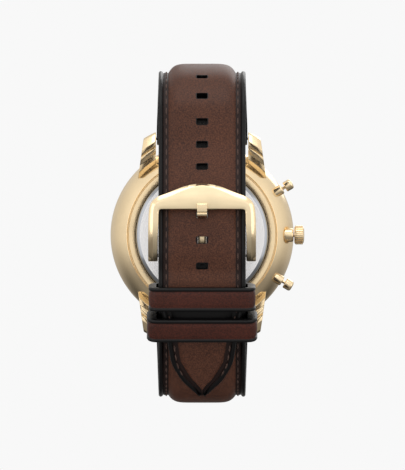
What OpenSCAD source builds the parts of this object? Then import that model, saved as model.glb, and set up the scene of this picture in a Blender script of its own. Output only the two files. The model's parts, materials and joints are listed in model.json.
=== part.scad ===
// Chronograph wristwatch on a closed leather strap, as it sits on a wrist.
// Frame: origin in the middle of the wrist opening, +Y out through the dial,
// +Z towards six o'clock, +X towards the crown. All sizes in mm.

/* [Case] */
// Case diameter
case_d = 44; // [40:0.5:46]
// Distance from the middle of the wrist opening to the outside of the case back
head_y = 24; // [20:0.5:28]
// Height of the case wall above the case back
case_wall_h = 7.4; // [6:0.1:9]
// Radius of the case back plate
back_r = 15.85; // [14:0.05:17]
// Radius of the opening that takes the movement
cavity_r = 15.95; // [14:0.05:17]
// Distance between each pair of lugs
lug_gap = 22; // [20:1:24]
// Distance along the strap from the dial centre to the lug tips
lug_reach = 25.2; // [23:0.1:27]
// Distance from the dial centre to the spring bars
bar_reach = 23.2; // [22:0.1:25]
// Height of the spring bars above the case back
bar_z = 3; // [2:0.1:4]

/* [Crystal and dial] */
// Crystal radius
crystal_r = 18.9; // [17:0.1:20]
// Dial radius
dial_r = 18.6; // [17:0.1:20]
// Height of the dial's lower face
dial_z = 6.2; // [5:0.1:7]
// Distance from the dial centre to each small dial's centre
subdial_reach = 8.2; // [7:0.1:9]
// Radius of each small dial
subdial_r = 4.2; // [3:0.1:5]

/* [Crown and pushers] */
// Height of the crown and the pushers above the case back
crown_z = 3.9; // [3:0.1:5]
// Crown diameter
crown_d = 4.6; // [4:0.1:6]
// Crown length
crown_l = 2.4; // [2:0.1:4]
// Number of grip ribs round the crown
crown_ribs = 24; // [16:1:40]
// Angle from the crown to each pusher
pusher_angle = 30; // [25:1:35]
// Distance from the dial centre to a pusher's end
pusher_reach = 24.9; // [24:0.1:26]
// Diameter of a pusher's head
pusher_d = 2.5; // [2:0.1:4]

/* [Movement] */
// Radius of the movement's main plate
plate_r = 14; // [12:0.1:15]
// Module of the going train's teeth
train_m = 0.12; // [0.1:0.01:0.2]
// Battery diameter
battery_d = 9.5; // [7.9:0.1:11.6]

/* [Strap] */
// Thickness of the strap lining
lining_t = 1; // [0.8:0.1:1.4]
// Thickness of the strap at its edge bead
edge_t = 2; // [1.6:0.1:2.6]
// Strap width at the buckle
buckle_w = 20; // [18:1:22]
// Distance between the strap holes
hole_pitch = 5.5; // [5:0.5:8]
// Number of strap holes
hole_count = 9; // [5:1:11]
// Width of a strap hole
hole_w = 2.5; // [2:0.1:3]
// Height of a strap hole
hole_h = 1.6; // [1.2:0.1:2]
// Length of each keeper along the strap
keeper_l = 5.5; // [4:0.1:7]
// Width of the opening through each keeper
keeper_gap = 21; // [20.6:0.1:22]

/* [Buckle] */
// Width of the buckle frame
frame_w = 24.8; // [23:0.1:28]
// Width of the opening in the buckle frame
frame_gap = 20.2; // [20.2:0.1:22]
// Width of the buckle tongue
tongue_w = 2.3; // [2:0.1:3]

/* [Hidden] */
$fn = 72;
eps = 0.01;
case_r = case_d / 2;
bar_y = head_y + bar_z;
train_thin = 0.25;
fourth_at = [0, -subdial_reach];
fifth_at = [-3.946, -6.764];
rotor_at = [-6.44, -8.205];
inter_at = [-3.98, 0.91];
counter_at = [-subdial_reach, 0];
minute_wheel_at = [-2.3, 3.657];
idler_at = [3.148, 2.595];
day_at = [subdial_reach, 0];
battery_at = [5.2, 6.2];
coil_at = [-10.6, -6.8];
coil_turn = -57.3;
pillars = [[-0.4, 4.1], [-11.2, 4.2], [3.7, -5.4], [-4.9, -11.7]];
clamp_screws = [[12.1, 5.2], [0.6, 12.4]];
motion_m = 0.18;
motion_m2 = 0.1728;
motion_m3 = 0.16;
buckle_bar = [-24.1, -4.6];

// ---- frames -------------------------------------------------------------

// Places the watch head: its own z is the dial's normal, its y is 12 o'clock.
module head() {
  translate([0, head_y, 0])
    rotate([-90, 0, 0])
      children();
}

// A ring or disc turned from a profile of [radius, height] points.
module turned(points) {
  rotate_extrude($fn = 120)
    polygon(points);
}

// A tube or solid rod standing on z.
module tube(r, z0, z1, bore = 0) {
  translate([0, 0, z0])
    difference() {
      cylinder(r = r, h = z1 - z0);
      if (bore > 0)
        translate([0, 0, -1])
          cylinder(r = bore, h = z1 - z0 + 2);
    }
}

// ---- gears --------------------------------------------------------------

function polar(r, a) = [r * cos(a), r * sin(a)];

// Outline of a gear with straight-sided teeth.
function gear_points(teeth, m, phase) =
  let (pitch = 360 / teeth, rp = m * teeth / 2)
  [for (i = [0:teeth - 1])
    for (k = [[-0.3, -1.15], [-0.2, 0.1], [-0.1, 0.85],
              [0.1, 0.85], [0.2, 0.1], [0.3, -1.15]])
      polar(rp + k[1] * m, phase + (i + k[0]) * pitch)];

// Phase of a gear that meshes with one already placed, in direction dir.
function mesh_phase(teeth1, phase1, teeth2, dir) =
  let (p1 = 360 / teeth1,
       turns = (dir - phase1) / p1,
       part = turns - floor(turns))
  dir + 180 + (part - 0.5) * 360 / teeth2;

function direction(a, b) = atan2(b[1] - a[1], b[0] - a[0]);

module gear(teeth, m, phase, z0, z1, bore = 0) {
  translate([0, 0, z0])
    linear_extrude(z1 - z0)
      difference() {
        polygon(gear_points(teeth, m, phase));
        if (bore > 0)
          circle(r = bore, $fn = 36);
      }
}

// ---- strap path ---------------------------------------------------------

// Hand-laid points of the inside of each strap half, as [y, z].
short_points = [
  [bar_y - 1.5, -bar_reach + 0.6], [25, -25.8], [23.7, -28.8], [20, -32.2],
  [13, -35], [4, -36],
  [-5, -34.8], [-12.5, -31], [-17.8, -25.4], [-21, -18.6], [-22.4, -12],
  [-22.6, buckle_bar[1] - 3.4]
];
long_lead = [
  [bar_y - 1.5, bar_reach - 0.6], [25, 25.6], [23.6, 28.6], [19.8, 32],
  [12, 35.2], [3, 36.3],
  [-6, 36], [-13.5, 34], [-17.8, 30], [-19.4, 25.5], [-20.6, 20.5],
  [-22.4, 15.5], [-24.3, 10], [-25.3, 5], [-25.8, 1], [-25.9, -3.6]
];

function catmull(a, b, c, d, t) =
  0.5 * (2 * b + (c - a) * t + (2 * a - 5 * b + 4 * c - d) * t * t
         + (3 * b - a - 3 * c + d) * t * t * t);

function spline(p, n) =
  let (last = len(p) - 1)
  concat(
    [for (i = [0:last - 1]) for (k = [0:n - 1])
      catmull(p[max(i - 1, 0)], p[i], p[i + 1], p[min(i + 2, last)], k / n)],
    [p[last]]);

// Unit normal on the left (side 1) or right (side -1) of a path at point i.
function path_normal(p, i, side) =
  let (last = len(p) - 1,
       d = p[min(i + 1, last)] - p[max(i - 1, 0)],
       u = d / norm(d))
  side * [-u[1], u[0]];

// Distance run along a path at each of its points.
function runs(p) =
  [for (i = 0, s = 0; i < len(p);
        s = s + (i < len(p) - 1 ? norm(p[i + 1] - p[i]) : 0), i = i + 1) s];

// Index of the last path point whose run is at most s.
function index_at(run, s) = max([for (i = [0:len(run) - 2]) run[i] <= s ? i : 0]);

// Point on a path at run s, as [y, z].
function point_at(p, run, s) =
  let (i = index_at(run, s), f = (s - run[i]) / (run[i + 1] - run[i]))
  p[i] + f * (p[i + 1] - p[i]);

// Direction of a path at run s, in degrees from +y towards +z.
function heading_at(p, run, s) =
  let (i = index_at(run, s), d = p[i + 1] - p[i])
  atan2(d[1], d[0]);

short_path = spline(short_points, 4);
short_run = runs(short_path);
short_len = short_run[len(short_run) - 1];

// The long half's end lies on the outside of the short half.
overlap_gap = 0.2;
tail_stop = 24;
long_tail = [for (i = [len(short_path) - 1 : -3 : tail_stop])
  short_path[i] + path_normal(short_path, i, 1)
    * (short_total(short_run[i]) + overlap_gap)];
long_path = spline(concat(long_lead, long_tail), 3);
long_run = runs(long_path);
long_len = long_run[len(long_run) - 1];

// Strap sizes along each half: half width and height of the padded middle.
function short_half(s) = lookup(s, [[0, 10.85], [3.5, 10.85], [6, 10.7],
  [14, 10.45], [24, 10.25], [40, 10.1], [short_len - 18, buckle_w / 2],
  [short_len, buckle_w / 2]]);
function short_pad(s) = lookup(s, [[0, 0.2], [3, 0.9], [9, 1.9], [26, 1.5],
  [44, 0.7], [58, 0.3], [short_len, 0.3]]);
function short_total(s) = edge_t + short_pad(s);
function long_half(s) = lookup(s, [[0, 10.85], [3.5, 10.85], [6, 10.7],
  [14, 10.45], [24, 10.25], [38, 10.1], [60, buckle_w / 2],
  [long_len - 26, buckle_w / 2],
  [long_len - 19, 8.3], [long_len - 11, 7.1], [long_len - 5.8, 4.6],
  [long_len - 1.4, 1.7], [long_len, 0.7]]);
function long_pad(s) = lookup(s, [[0, 0.2], [3, 0.9], [9, 1.9], [30, 1.9],
  [44, 0.9], [60, 0.4], [72, 0.3], [long_len - 20, 0.2], [long_len, 0.1]]);

// Cross sections as [x, height above the inner face], counter-clockwise.
function upper_right(w, pad) =
  let (k = w / 10)
  [[w, lining_t], [w, edge_t - 0.35], [w - 0.3 * k, edge_t],
   [w - 0.9 * k, edge_t], [w - 1.15 * k, edge_t - 0.4],
   [w - 2.3 * k, edge_t - 0.4], [w - 2.8 * k, edge_t - 0.3 + 0.5 * pad],
   [w - 3.6 * k, edge_t + 0.85 * pad], [w - 5 * k, edge_t + pad]];
function mirrored(half) =
  [for (i = [len(half) - 1:-1:0]) [-half[i][0], half[i][1]]];
function upper_section(w, pad) =
  concat(upper_right(w, pad), [[0, edge_t + pad]], mirrored(upper_right(w, pad)));
function lining_section(w) =
  [[-w, 0.25], [-w + 0.25, 0], [w - 0.25, 0], [w, 0.25],
   [w, lining_t], [-w, lining_t]];

// Solid through a row of sections along a path.
module sweep(path, side, sections) {
  m = len(sections[0]);
  points = [for (i = [0:len(sections) - 1])
    let (n = path_normal(path, i, side))
    for (q = sections[i])
      [q[0], path[i][0] + n[0] * q[1], path[i][1] + n[1] * q[1]]];
  last = (len(sections) - 1) * m;
  skin = [for (i = [0:len(sections) - 2]) for (j = [0:m - 1])
    let (a = i * m + j, b = i * m + (j + 1) % m)
    each [[a, a + m, b + m], [a, b + m, b]]];
  first_cap = [for (j = [0:m - 1]) j];
  last_cap = [for (j = [m - 1:-1:0]) last + j];
  faces = concat(skin, [first_cap, last_cap]);
  turned_faces = [for (f = faces) [for (j = [len(f) - 1:-1:0]) f[j]]];
  polyhedron(points, side < 0 ? faces : turned_faces, convexity = 8);
}

// Arc length of the hole that takes the tongue.
tongue_hole_z = 4.3;
tongue_run = min([for (i = [0:len(long_path) - 1])
  long_path[i][0] < -15 && long_path[i][1] <= tongue_hole_z + 2
    ? long_run[i] - (tongue_hole_z - long_path[i][1]) : 1e6]);

// Cutters for the strap holes: rectangular slots across the strap.
module strap_holes() {
  for (i = [-6:hole_count - 7]) {
    s = tongue_run + i * hole_pitch;
    at = point_at(long_path, long_run, s);
    translate([0, at[0], at[1]])
      rotate([heading_at(long_path, long_run, s), 0, 0])
        linear_extrude(8, center = true)
          strap_slot();
  }
}

module strap_slot() {
  a = hole_w / 2;
  b = hole_h / 2;
  c = 0.2;
  polygon([[a, c - b], [a, b - c], [a - c, b], [c - a, b], [-a, b - c],
    [-a, c - b], [c - a, -b], [a - c, -b]]);
}

// Bore along x for a spring bar at a [y, z] point.
module bar_bore(at, r) {
  translate([-15, at[0], at[1]])
    rotate([0, 90, 0])
      cylinder(r = r, h = 30, $fn = 48);
}

eye_r = 1.7;
six_bar = [bar_y, bar_reach];
twelve_bar = [bar_y, -bar_reach];

// Rounded end of a strap half, round a spring bar.
module strap_eye(at, w, r = eye_r) {
  translate([-w, at[0], at[1]])
    rotate([0, 90, 0])
      cylinder(r = r, h = 2 * w, $fn = 48);
}

// ---- strap --------------------------------------------------------------

module long_strap_upper() {
  color([0.27, 0.16, 0.11])
    difference() {
      union() {
        sweep(long_path, -1, [for (i = [0:len(long_path) - 1])
          upper_section(long_half(long_run[i]), long_pad(long_run[i]))]);
        strap_eye(six_bar, 10.85);
      }
      strap_holes();
      bar_bore(six_bar, 0.8);
    }
}

module long_strap_lining() {
  color([0.2, 0.14, 0.11])
    difference() {
      sweep(long_path, -1, [for (i = [0:len(long_path) - 1])
        lining_section(long_half(long_run[i]))]);
      strap_holes();
      bar_bore(six_bar, eye_r);
    }
}

module short_strap_upper() {
  color([0.27, 0.16, 0.11])
    difference() {
      union() {
        sweep(short_path, 1, [for (i = [0:len(short_path) - 1])
          upper_section(short_half(short_run[i]), short_pad(short_run[i]))]);
        strap_eye(twelve_bar, 10.85);
      }
      bar_bore(twelve_bar, 0.8);
    }
}

module short_strap_lining() {
  color([0.2, 0.14, 0.11]) {
    difference() {
      sweep(short_path, 1, [for (i = [0:len(short_path) - 1])
        lining_section(short_half(short_run[i]))]);
      bar_bore(twelve_bar, eye_r);
    }
    for (side = [-1, 1])
      buckle_loop(side);
  }
}

// Side view of the leather loop round the buckle bar, down to the strap's end.
loop_side = [
  [buckle_bar[0] + 1.45, buckle_bar[1]], [-22.62, -7.93], [-24.85, -7.93],
  [buckle_bar[0] - 1.45, buckle_bar[1]]
];

// One of the two loops that leave room for the tongue between them.
module buckle_loop(side) {
  translate([side * 5.7, 0, 0])
    rotate([90, 0, 90])
      linear_extrude(7.8, center = true)
        difference() {
          union() {
            translate(buckle_bar)
              circle(r = 1.5, $fn = 48);
            polygon(loop_side);
          }
          translate(buckle_bar)
            circle(r = 0.8, $fn = 48);
        }
}

// ---- keepers ------------------------------------------------------------

keeper_one_run = short_len - 5.9;
keeper_two_run = short_len - 12.2;

// Rounded rectangle from square and round pieces.
module round_box(w, h, r) {
  square([w - 2 * r, h], center = true);
  square([w, h - 2 * r], center = true);
  for (x = [-1, 1])
    for (y = [-1, 1])
      translate([x * (w / 2 - r), y * (h / 2 - r)])
        circle(r = r, $fn = 32);
}

// A band round both strap halves at a run of the short half.
module keeper(s, outer_w) {
  at = point_at(short_path, short_run, s);
  inner_h = short_total(s) + overlap_gap + edge_t + 0.3 + 0.5;
  wall = 1.3;
  translate([0, at[0], at[1]])
    rotate([heading_at(short_path, short_run, s) - 90, 0, 0])
      translate([0, -inner_h / 2 + 0.25, 0])
        linear_extrude(keeper_l, center = true)
          difference() {
            round_box(outer_w, inner_h + 2 * wall, 2.2);
            round_box(keeper_gap, inner_h, 0.5);
          }
}

module fixed_keeper() {
  color([0.25, 0.12, 0.08])
    keeper(keeper_one_run, 24.6);
}

module free_keeper() {
  color([0.25, 0.12, 0.08])
    keeper(keeper_two_run, 25.4);
}

// ---- buckle -------------------------------------------------------------

// Side view of the buckle frame, as [y, z].
frame_side = [
  [-28.3, 11.8], [-28.9, 11.5], [-29.35, 10.2], [-29.5, 8.5], [-29.5, 5],
  [-29.4, 1.5], [-28.8, -1.2], [-27.6, -3.7], [-26, -5.5], [-24.6, -6.1],
  [-23.2, -5.9], [-22.6, -4.9], [-22.8, -3.8], [-23.8, -3.2], [-25.4, -3.1],
  [-26.9, -1.5], [-27.8, 0.8], [-28.05, 4], [-28.05, 8.5], [-27.7, 11.2]
];

// Half of the frame's front outline, as [x, z].
frame_front_half = [
  [0, 11.85], [1.6, 11.75], [3.2, 11.3], [5, 10.55], [7.3, 9.7],
  [9.4, 8.95], [10.6, 8.3], [11.6, 7.2], [frame_w / 2 - 0.2, 6],
  [frame_w / 2, 4.6], [frame_w / 2, -6.3]
];

module buckle_outline() {
  difference() {
    polygon(concat(frame_front_half,
      [for (i = [len(frame_front_half) - 1:-1:1])
        [-frame_front_half[i][0], frame_front_half[i][1]]]));
    translate([-frame_gap / 2, -8])
      square([frame_gap, 13.3]);
    translate([-frame_gap / 2 + 0.6, 0])
      square([frame_gap - 1.2, 5.9]);
    for (side = [-1, 1])
      translate([side * (frame_gap / 2 - 0.6), 5.3])
        circle(r = 0.6, $fn = 24);
  }
}

module buckle_frame() {
  color([0.9, 0.78, 0.6])
    difference() {
      intersection() {
        rotate([90, 0, 90])
          linear_extrude(frame_w + 2, center = true)
            polygon(frame_side);
        translate([0, -20, 0])
          rotate([90, 0, 0])
            linear_extrude(12)
              buckle_outline();
      }
      for (side = [-1, 1])
        translate([side * (frame_gap / 2 - 0.2), buckle_bar[0], buckle_bar[1]])
          rotate([0, side * 90, 0])
            cylinder(r = 0.5, h = 1.6, $fn = 36);
    }
}

// Side view of the tongue from its ring to its tip, as [y, z].
tongue_side = [
  [-23.3, -4.6], [-23.75, 2.6], [-24.2, 4.1], [-25.2, 4.65], [-28.9, 4.9],
  [-29.55, 5.3], [-29.6, 7.25], [-30.2, 7.25], [-30.5, 6.9], [-30.5, 5],
  [-29.7, 4.18], [-25.6, 3.95], [-24.95, 3.5], [-24.7, 2.6], [-24.75, -4.6]
];

module buckle_tongue() {
  color([0.92, 0.8, 0.62])
    difference() {
      union() {
        rotate([90, 0, 90])
          linear_extrude(tongue_w, center = true)
            polygon(tongue_side);
        translate([-tongue_w / 2, buckle_bar[0], buckle_bar[1]])
          rotate([0, 90, 0])
            cylinder(r = 1.25, h = tongue_w, $fn = 48);
      }
      bar_bore(buckle_bar, 0.8);
    }
}

// ---- spring bars --------------------------------------------------------

// Hollow barrel of a spring bar, closed in the middle.
module bar_barrel(at, half) {
  color([0.75, 0.75, 0.77])
    translate([0, at[0], at[1]])
      rotate([0, 90, 0])
        difference() {
          cylinder(r = 0.75, h = 2 * half, center = true, $fn = 48);
          for (side = [-1, 1])
            translate([0, 0, side * half])
              cylinder(r = 0.5, h = 7, center = true, $fn = 36);
        }
}

// Sprung end pin of a spring bar.
module bar_pin(at, side, from, to) {
  color([0.8, 0.8, 0.82])
    translate([side * from, at[0], at[1]])
      rotate([0, side * 90, 0])
        cylinder(r = 0.42, h = to - from, $fn = 36);
}

lug_half = lug_gap / 2;
module spring_bar_six() { bar_barrel(six_bar, 10.7); }
module spring_bar_twelve() { bar_barrel(twelve_bar, 10.7); }
module spring_bar_buckle() { bar_barrel(buckle_bar, 9.95); }
module bar_pin_six_crown() { bar_pin(six_bar, 1, 8.4, 12.1); }
module bar_pin_six_far() { bar_pin(six_bar, -1, 8.4, 12.1); }
module bar_pin_twelve_crown() { bar_pin(twelve_bar, 1, 8.4, 12.1); }
module bar_pin_twelve_far() { bar_pin(twelve_bar, -1, 8.4, 12.1); }
module bar_pin_buckle_crown() { bar_pin(buckle_bar, 1, 7.6, 11.1); }
module bar_pin_buckle_far() { bar_pin(buckle_bar, -1, 7.6, 11.1); }

// ---- case ---------------------------------------------------------------

// Case wall from the back ring round the bowl-shaped flank to the bezel seat.
case_profile = [
  [back_r + 0.1, 0.75], [17.5, 0.75], [17.62, 1.35], [17.88, 1.35],
  [18, 1.0], [18.8, 1.5], [19.5, 2.1], [20.1, 2.8], [20.7, 3.7],
  [21.2, 4.7], [21.6, 5.8], [21.9, 6.8], [case_r, case_wall_h],
  [18.7, case_wall_h], [18.7, dial_z], [cavity_r, dial_z], [cavity_r, 2.6],
  [15.2, 2.6], [15.2, 2.25], [back_r + 0.1, 2.25]
];

// Stepped profile of a lug, as [distance from the dial's centre, height].
lug_profile = [
  [19, 7.3], [19, 3.9], [20.5, 3.1], [21.25, 1.95], [22.35, 1.85],
  [23.05, 1.15], [24.1, 0.75], [24.9, 0.6], [26.6, 1.8], [27.05, 2.8],
  [26.75, 4.2], [25.4, 5.8], [23, 7]
];

// A lug is a piece of a turned ring, cut to its plan between two side lines.
module lug() {
  slant = tan(8);
  difference() {
    intersection() {
      turned(lug_profile);
      linear_extrude(12)
        polygon([[lug_half + 0.05, 13], [13.7 + (lug_reach - 13) * slant, 13],
          [13.7 - 1.8 * slant, lug_reach + 1.8], [lug_half + 0.05, lug_reach + 1.8]]);
    }
    translate([lug_half - 1, bar_reach, bar_z])
      rotate([0, 90, 0])
        cylinder(r = 0.5, h = 2.3, $fn = 36);
  }
}

module mid_case() {
  color([0.88, 0.76, 0.6])
    head()
      difference() {
        union() {
          turned(case_profile);
          for (sx = [0, 1])
            for (sy = [0, 1])
              mirror([sx, 0, 0])
                mirror([0, sy, 0])
                  difference() {
                    lug();
                    cylinder(r = 18.75, h = 12, $fn = 120);
                  }
        }
        translate([15, 0, crown_z])
          rotate([0, 90, 0])
            cylinder(r = 1, h = 5, $fn = 48);
        translate([19.3, 0, crown_z])
          rotate([0, 90, 0])
            cylinder(r = 1.65, h = 5, $fn = 48);
        for (side = [-1, 1])
          rotate([0, 0, side * pusher_angle])
            translate([0, 0, crown_z])
              rotate([0, 90, 0]) {
                translate([0, 0, 15])
                  cylinder(r = 0.8, h = 6, $fn = 48);
                translate([0, 0, 19.6])
                  cylinder(r = 1.2, h = 6, $fn = 48);
              }
        for (sx = [-1, 1])
          for (sy = [-1, 1])
            translate([sx * 15.1 - 0.2, sy * 14.5 - 1.1, 0])
              cube([0.4, 2.2, 4.4]);
      }
}

module bezel() {
  color([0.9, 0.78, 0.62])
    head()
      turned([[18.7, case_wall_h], [case_r, case_wall_h], [case_r, 7.9],
        [21.7, 8.7], [21, 9.3], [20.2, 9.5], [19.5, 9.4], [19.2, 9.1],
        [19.2, 8.1], [18.7, 8.1]]);
}

module crystal() {
  color([0.9, 0.95, 1, 0.3])
    head()
      turned([[0, 8.15], [crystal_r, 8.15], [crystal_r, 9.5], [18.3, 9.85],
        [14, 10.2], [8, 10.4], [0, 10.5]]);
}

module crystal_gasket() {
  color([0.1, 0.1, 0.1])
    head()
      turned([[crystal_r, 8.1], [19.2, 8.1], [19.2, 9.3], [crystal_r, 9.3]]);
}

module dial_ring() {
  color([0.85, 0.83, 0.78])
    head()
      turned([[17.3, 6.6], [dial_r, 6.6], [dial_r, 8.05], [18.35, 8.05],
        [17.3, 6.9]]);
}

module dial() {
  color([0.93, 0.91, 0.86])
    head()
      difference() {
        tube(dial_r, dial_z, 6.6, 1);
        translate([day_at[0], day_at[1], 5])
          cylinder(r = 0.5, h = 3, $fn = 36);
        for (at = [fourth_at, counter_at])
          translate([at[0], at[1], 5])
            cylinder(r = 0.4, h = 3, $fn = 36);
        for (at = [fourth_at, counter_at, day_at])
          translate([at[0], at[1], 6.5])
            cylinder(r = subdial_r - 0.15, h = 3, $fn = 72);
      }
}

module hour_markers() {
  color([0.9, 0.78, 0.6])
    head()
      for (hour = [1:12])
        if (hour % 3 != 0 || hour == 12)
          rotate([0, 0, -30 * hour])
            for (side = hour == 12 ? [-0.55, 0.55] : [0])
              translate([side - 0.35, 13.4, 6.6])
                cube([0.7, 3.2, 0.3]);
}

module subdial_rings() {
  color([0.9, 0.78, 0.6])
    head()
      for (at = [fourth_at, counter_at, day_at])
        translate([at[0], at[1], 0])
          tube(subdial_r + 0.1, 6.6, 6.68, subdial_r - 0.15);
}

module case_back() {
  color([0.82, 0.82, 0.83])
    head()
      turned([[0, 0], [14.9, 0], [15.6, 0.35], [back_r, 0.8], [back_r, 1.9],
        [14.6, 1.9], [14.6, 1], [0, 1]]);
}

module case_back_gasket() {
  color([0.1, 0.1, 0.1])
    head()
      tube(15.8, 1.92, 2.24, 15.3);
}

// ---- movement -----------------------------------------------------------

module movement_holder() {
  color([0.85, 0.85, 0.82])
    head()
      difference() {
        turned([[plate_r + 0.1, 2.7], [15.9, 2.7], [15.9, 6.1],
          [plate_r - 0.6, 6.1], [plate_r - 0.6, 5.25], [plate_r + 0.1, 5.25]]);
        translate([12, 0, crown_z])
          rotate([0, 90, 0])
            cylinder(r = 0.7, h = 5, $fn = 36);
        for (side = [-1, 1])
          rotate([0, 0, side * pusher_angle])
            translate([12, 0, crown_z])
              rotate([0, 90, 0])
                cylinder(r = 0.7, h = 5, $fn = 36);
      }
}

module plate_holes(z, h) {
  translate([0, 0, z])
    cylinder(r = 0.31, h = h, $fn = 24);
  for (at = [fourth_at, counter_at])
    translate([at[0], at[1], z])
      cylinder(r = 0.28, h = h, $fn = 24);
  for (at = [fifth_at, rotor_at, inter_at])
    translate([at[0], at[1], z])
      cylinder(r = 0.18, h = h, $fn = 24);
  for (at = pillars)
    translate([at[0], at[1], z])
      cylinder(r = 0.35, h = h, $fn = 24);
}

module main_plate() {
  color([0.75, 0.72, 0.62])
    head()
      difference() {
        union() {
          tube(plate_r, 4.4, 5.2);
          for (at = [minute_wheel_at, idler_at])
            translate([at[0], at[1], 0])
              tube(0.3, 5.1, 6.1);
          translate([day_at[0], day_at[1], 0])
            tube(0.28, 5.1, 5.98);
        }
        plate_holes(4, 2.5);
        for (at = clamp_screws)
          translate([at[0], at[1], 4])
            cylinder(r = 0.35, h = 2, $fn = 24);
        translate([9.6, -1.5, 4])
          cube([3.4, 3, 2]);
      }
}

module train_bridge() {
  color([0.78, 0.78, 0.76])
    head()
      difference() {
        union() {
          translate([0, 0, 1.75])
            linear_extrude(0.4)
              polygon([[-12.3, 5], [0.5, 5], [1.4, 2], [1.4, -3.4], [4.6, -4.4],
                [4.6, -11.6], [-5.6, -12.6], [-8.6, -10.4], [-9, -4],
                [-12.8, -1]]);
          for (at = pillars)
            translate([at[0], at[1], 0])
              tube(0.75, 2.1, 4.39);
        }
        plate_holes(1, 4);
      }
}

module circuit_board() {
  color([0.12, 0.35, 0.2])
    head() {
      difference() {
        translate([0, 0, 2.5])
          intersection() {
            cylinder(r = 13.6, h = 0.3);
            translate([-20, 5.4, -1])
              cube([40, 20, 3]);
          }
        translate([battery_at[0], battery_at[1], 1])
          cylinder(r = battery_d / 2 + 0.4, h = 4);
        for (at = clamp_screws)
          translate([at[0], at[1], 1])
            cylinder(r = 0.8, h = 4, $fn = 24);
      }
      translate([-7, 7.4, 2.8])
        cube([2.6, 2.6, 0.6]);
      translate([-2.8, 11, 3.5])
        rotate([0, -90, 0])
          cylinder(r = 0.7, h = 4.6, $fn = 36);
    }
}

module battery() {
  color([0.8, 0.8, 0.82])
    head()
      translate([battery_at[0], battery_at[1], 0])
        turned([[0, 2.25], [4.1, 2.25], [4.1, 2.35], [battery_d / 2, 2.5],
          [battery_d / 2, 4.2], [0, 4.2]]);
}

module battery_clamp() {
  color([0.7, 0.7, 0.72])
    head()
      difference() {
        translate([6.35, 8.8, 1.95])
          rotate([0, 0, -32.06])
            linear_extrude(0.25)
              round_box(15.4, 2, 0.9);
        for (at = clamp_screws)
          translate([at[0], at[1], 1])
            cylinder(r = 0.35, h = 3, $fn = 24);
      }
}

module motor_coil() {
  color([0.7, 0.35, 0.2])
    head()
      translate([coil_at[0], coil_at[1], 3.2])
        rotate([0, 0, coil_turn])
          rotate([0, 90, 0])
            difference() {
              union() {
                cylinder(r = 0.85, h = 4.4, center = true, $fn = 48);
                for (side = [-1, 1])
                  translate([0, 0, side * 2.05])
                    cylinder(r = 1, h = 0.3, center = true, $fn = 48);
              }
              cube([0.5, 0.9, 8], center = true);
            }
}

// A straight strip between two points.
module strip(a, b, w) {
  translate(a)
    rotate(direction(a, b))
      translate([0, -w / 2])
        square([norm(b - a), w]);
}

coil_dir = polar(1, coil_turn);
coil_side = [-coil_dir[1], coil_dir[0]];
coil_ends = [coil_at - 2.9 * coil_dir, coil_at + 2.9 * coil_dir];

module stator() {
  color([0.6, 0.6, 0.62])
    head()
      translate([0, 0, 3])
        linear_extrude(0.4)
          difference() {
            union() {
              strip(coil_ends[0], coil_ends[1], 0.8);
              strip(coil_ends[0], coil_ends[0] + 2 * coil_side, 0.9);
              strip(coil_ends[0] + 1.6 * coil_side, rotor_at, 0.9);
              strip(coil_ends[1], coil_ends[1] + 2.4 * coil_side, 0.9);
              translate(rotor_at)
                circle(r = 1.8, $fn = 48);
            }
            translate(rotor_at)
              circle(r = 1.3, $fn = 48);
          }
}

module movement_screws() {
  color([0.6, 0.62, 0.68])
    head()
      for (at = concat(pillars, clamp_screws))
        translate([at[0], at[1], 0])
          difference() {
            union() {
              tube(0.33, 1.7, 5.1);
              if (at[1] > 5)
                tube(0.65, 1.55, 1.94);
              else
                tube(0.65, 1.35, 1.74);
            }
            translate([-1, -0.08, 0])
              cube([2, 0.16, at[1] > 5 ? 1.7 : 1.5]);
          }
}

// ---- crown and pushers --------------------------------------------------

module crown_tube() {
  color([0.85, 0.73, 0.58])
    head()
      translate([0, 0, crown_z])
        rotate([0, 90, 0])
          difference() {
            union() {
              tube(1, 16.1, 19.4);
              tube(1.65, 19.3, 21.9);
            }
            tube(0.55, 15, 23);
          }
}

module crown_rib_outline() {
  r = crown_d / 2;
  step = 360 / crown_ribs;
  polygon([for (i = [0:crown_ribs - 1])
    for (k = [[0, 0], [0.18, -0.14], [0.5, -0.14], [0.68, 0]])
      polar(r + k[1], (i + k[0]) * step)]);
}

module crown() {
  color([0.88, 0.76, 0.6])
    head()
      translate([0, 0, crown_z])
        rotate([0, 90, 0])
          difference() {
            union() {
              translate([0, 0, 22.4])
                linear_extrude(crown_l - 0.7)
                  crown_rib_outline();
              turned([[0, 22.1], [1.9, 22.1], [2.1, 22.3], [2.1, 24],
                [1.95, 24.25], [1.4, 24.45], [0, 24.5]]);
            }
            translate([0, 0, 21])
              cylinder(r = 0.45, h = 2.4, $fn = 36);
          }
}

module stem() {
  color([0.6, 0.6, 0.62])
    head()
      translate([0, 0, crown_z])
        rotate([0, 90, 0]) {
          tube(0.45, 13.2, 23.4);
          translate([-0.25, -0.25, 9.8])
            cube([0.5, 0.5, 3.5]);
        }
}

module clutch_wheel() {
  color([0.7, 0.7, 0.72])
    head()
      translate([0, 0, crown_z])
        rotate([0, 90, 0])
          difference() {
            union() {
              gear(14, 0.15, 0, 10.2, 10.8);
              tube(0.7, 10.7, 11.9);
            }
            translate([-0.28, -0.28, 9])
              cube([0.56, 0.56, 5]);
          }
}

// Fixed guide tube of a pusher, lying along z from the dial centre.
module pusher_tube(side) {
  color([0.85, 0.73, 0.58])
    head()
      rotate([0, 0, side * pusher_angle])
        translate([0, 0, crown_z])
          rotate([0, 90, 0])
            difference() {
              union() {
                tube(0.8, 16.1, 19.7);
                tube(1.2, 19.6, 22.2);
              }
              tube(0.4, 15, 23);
            }
}

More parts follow.
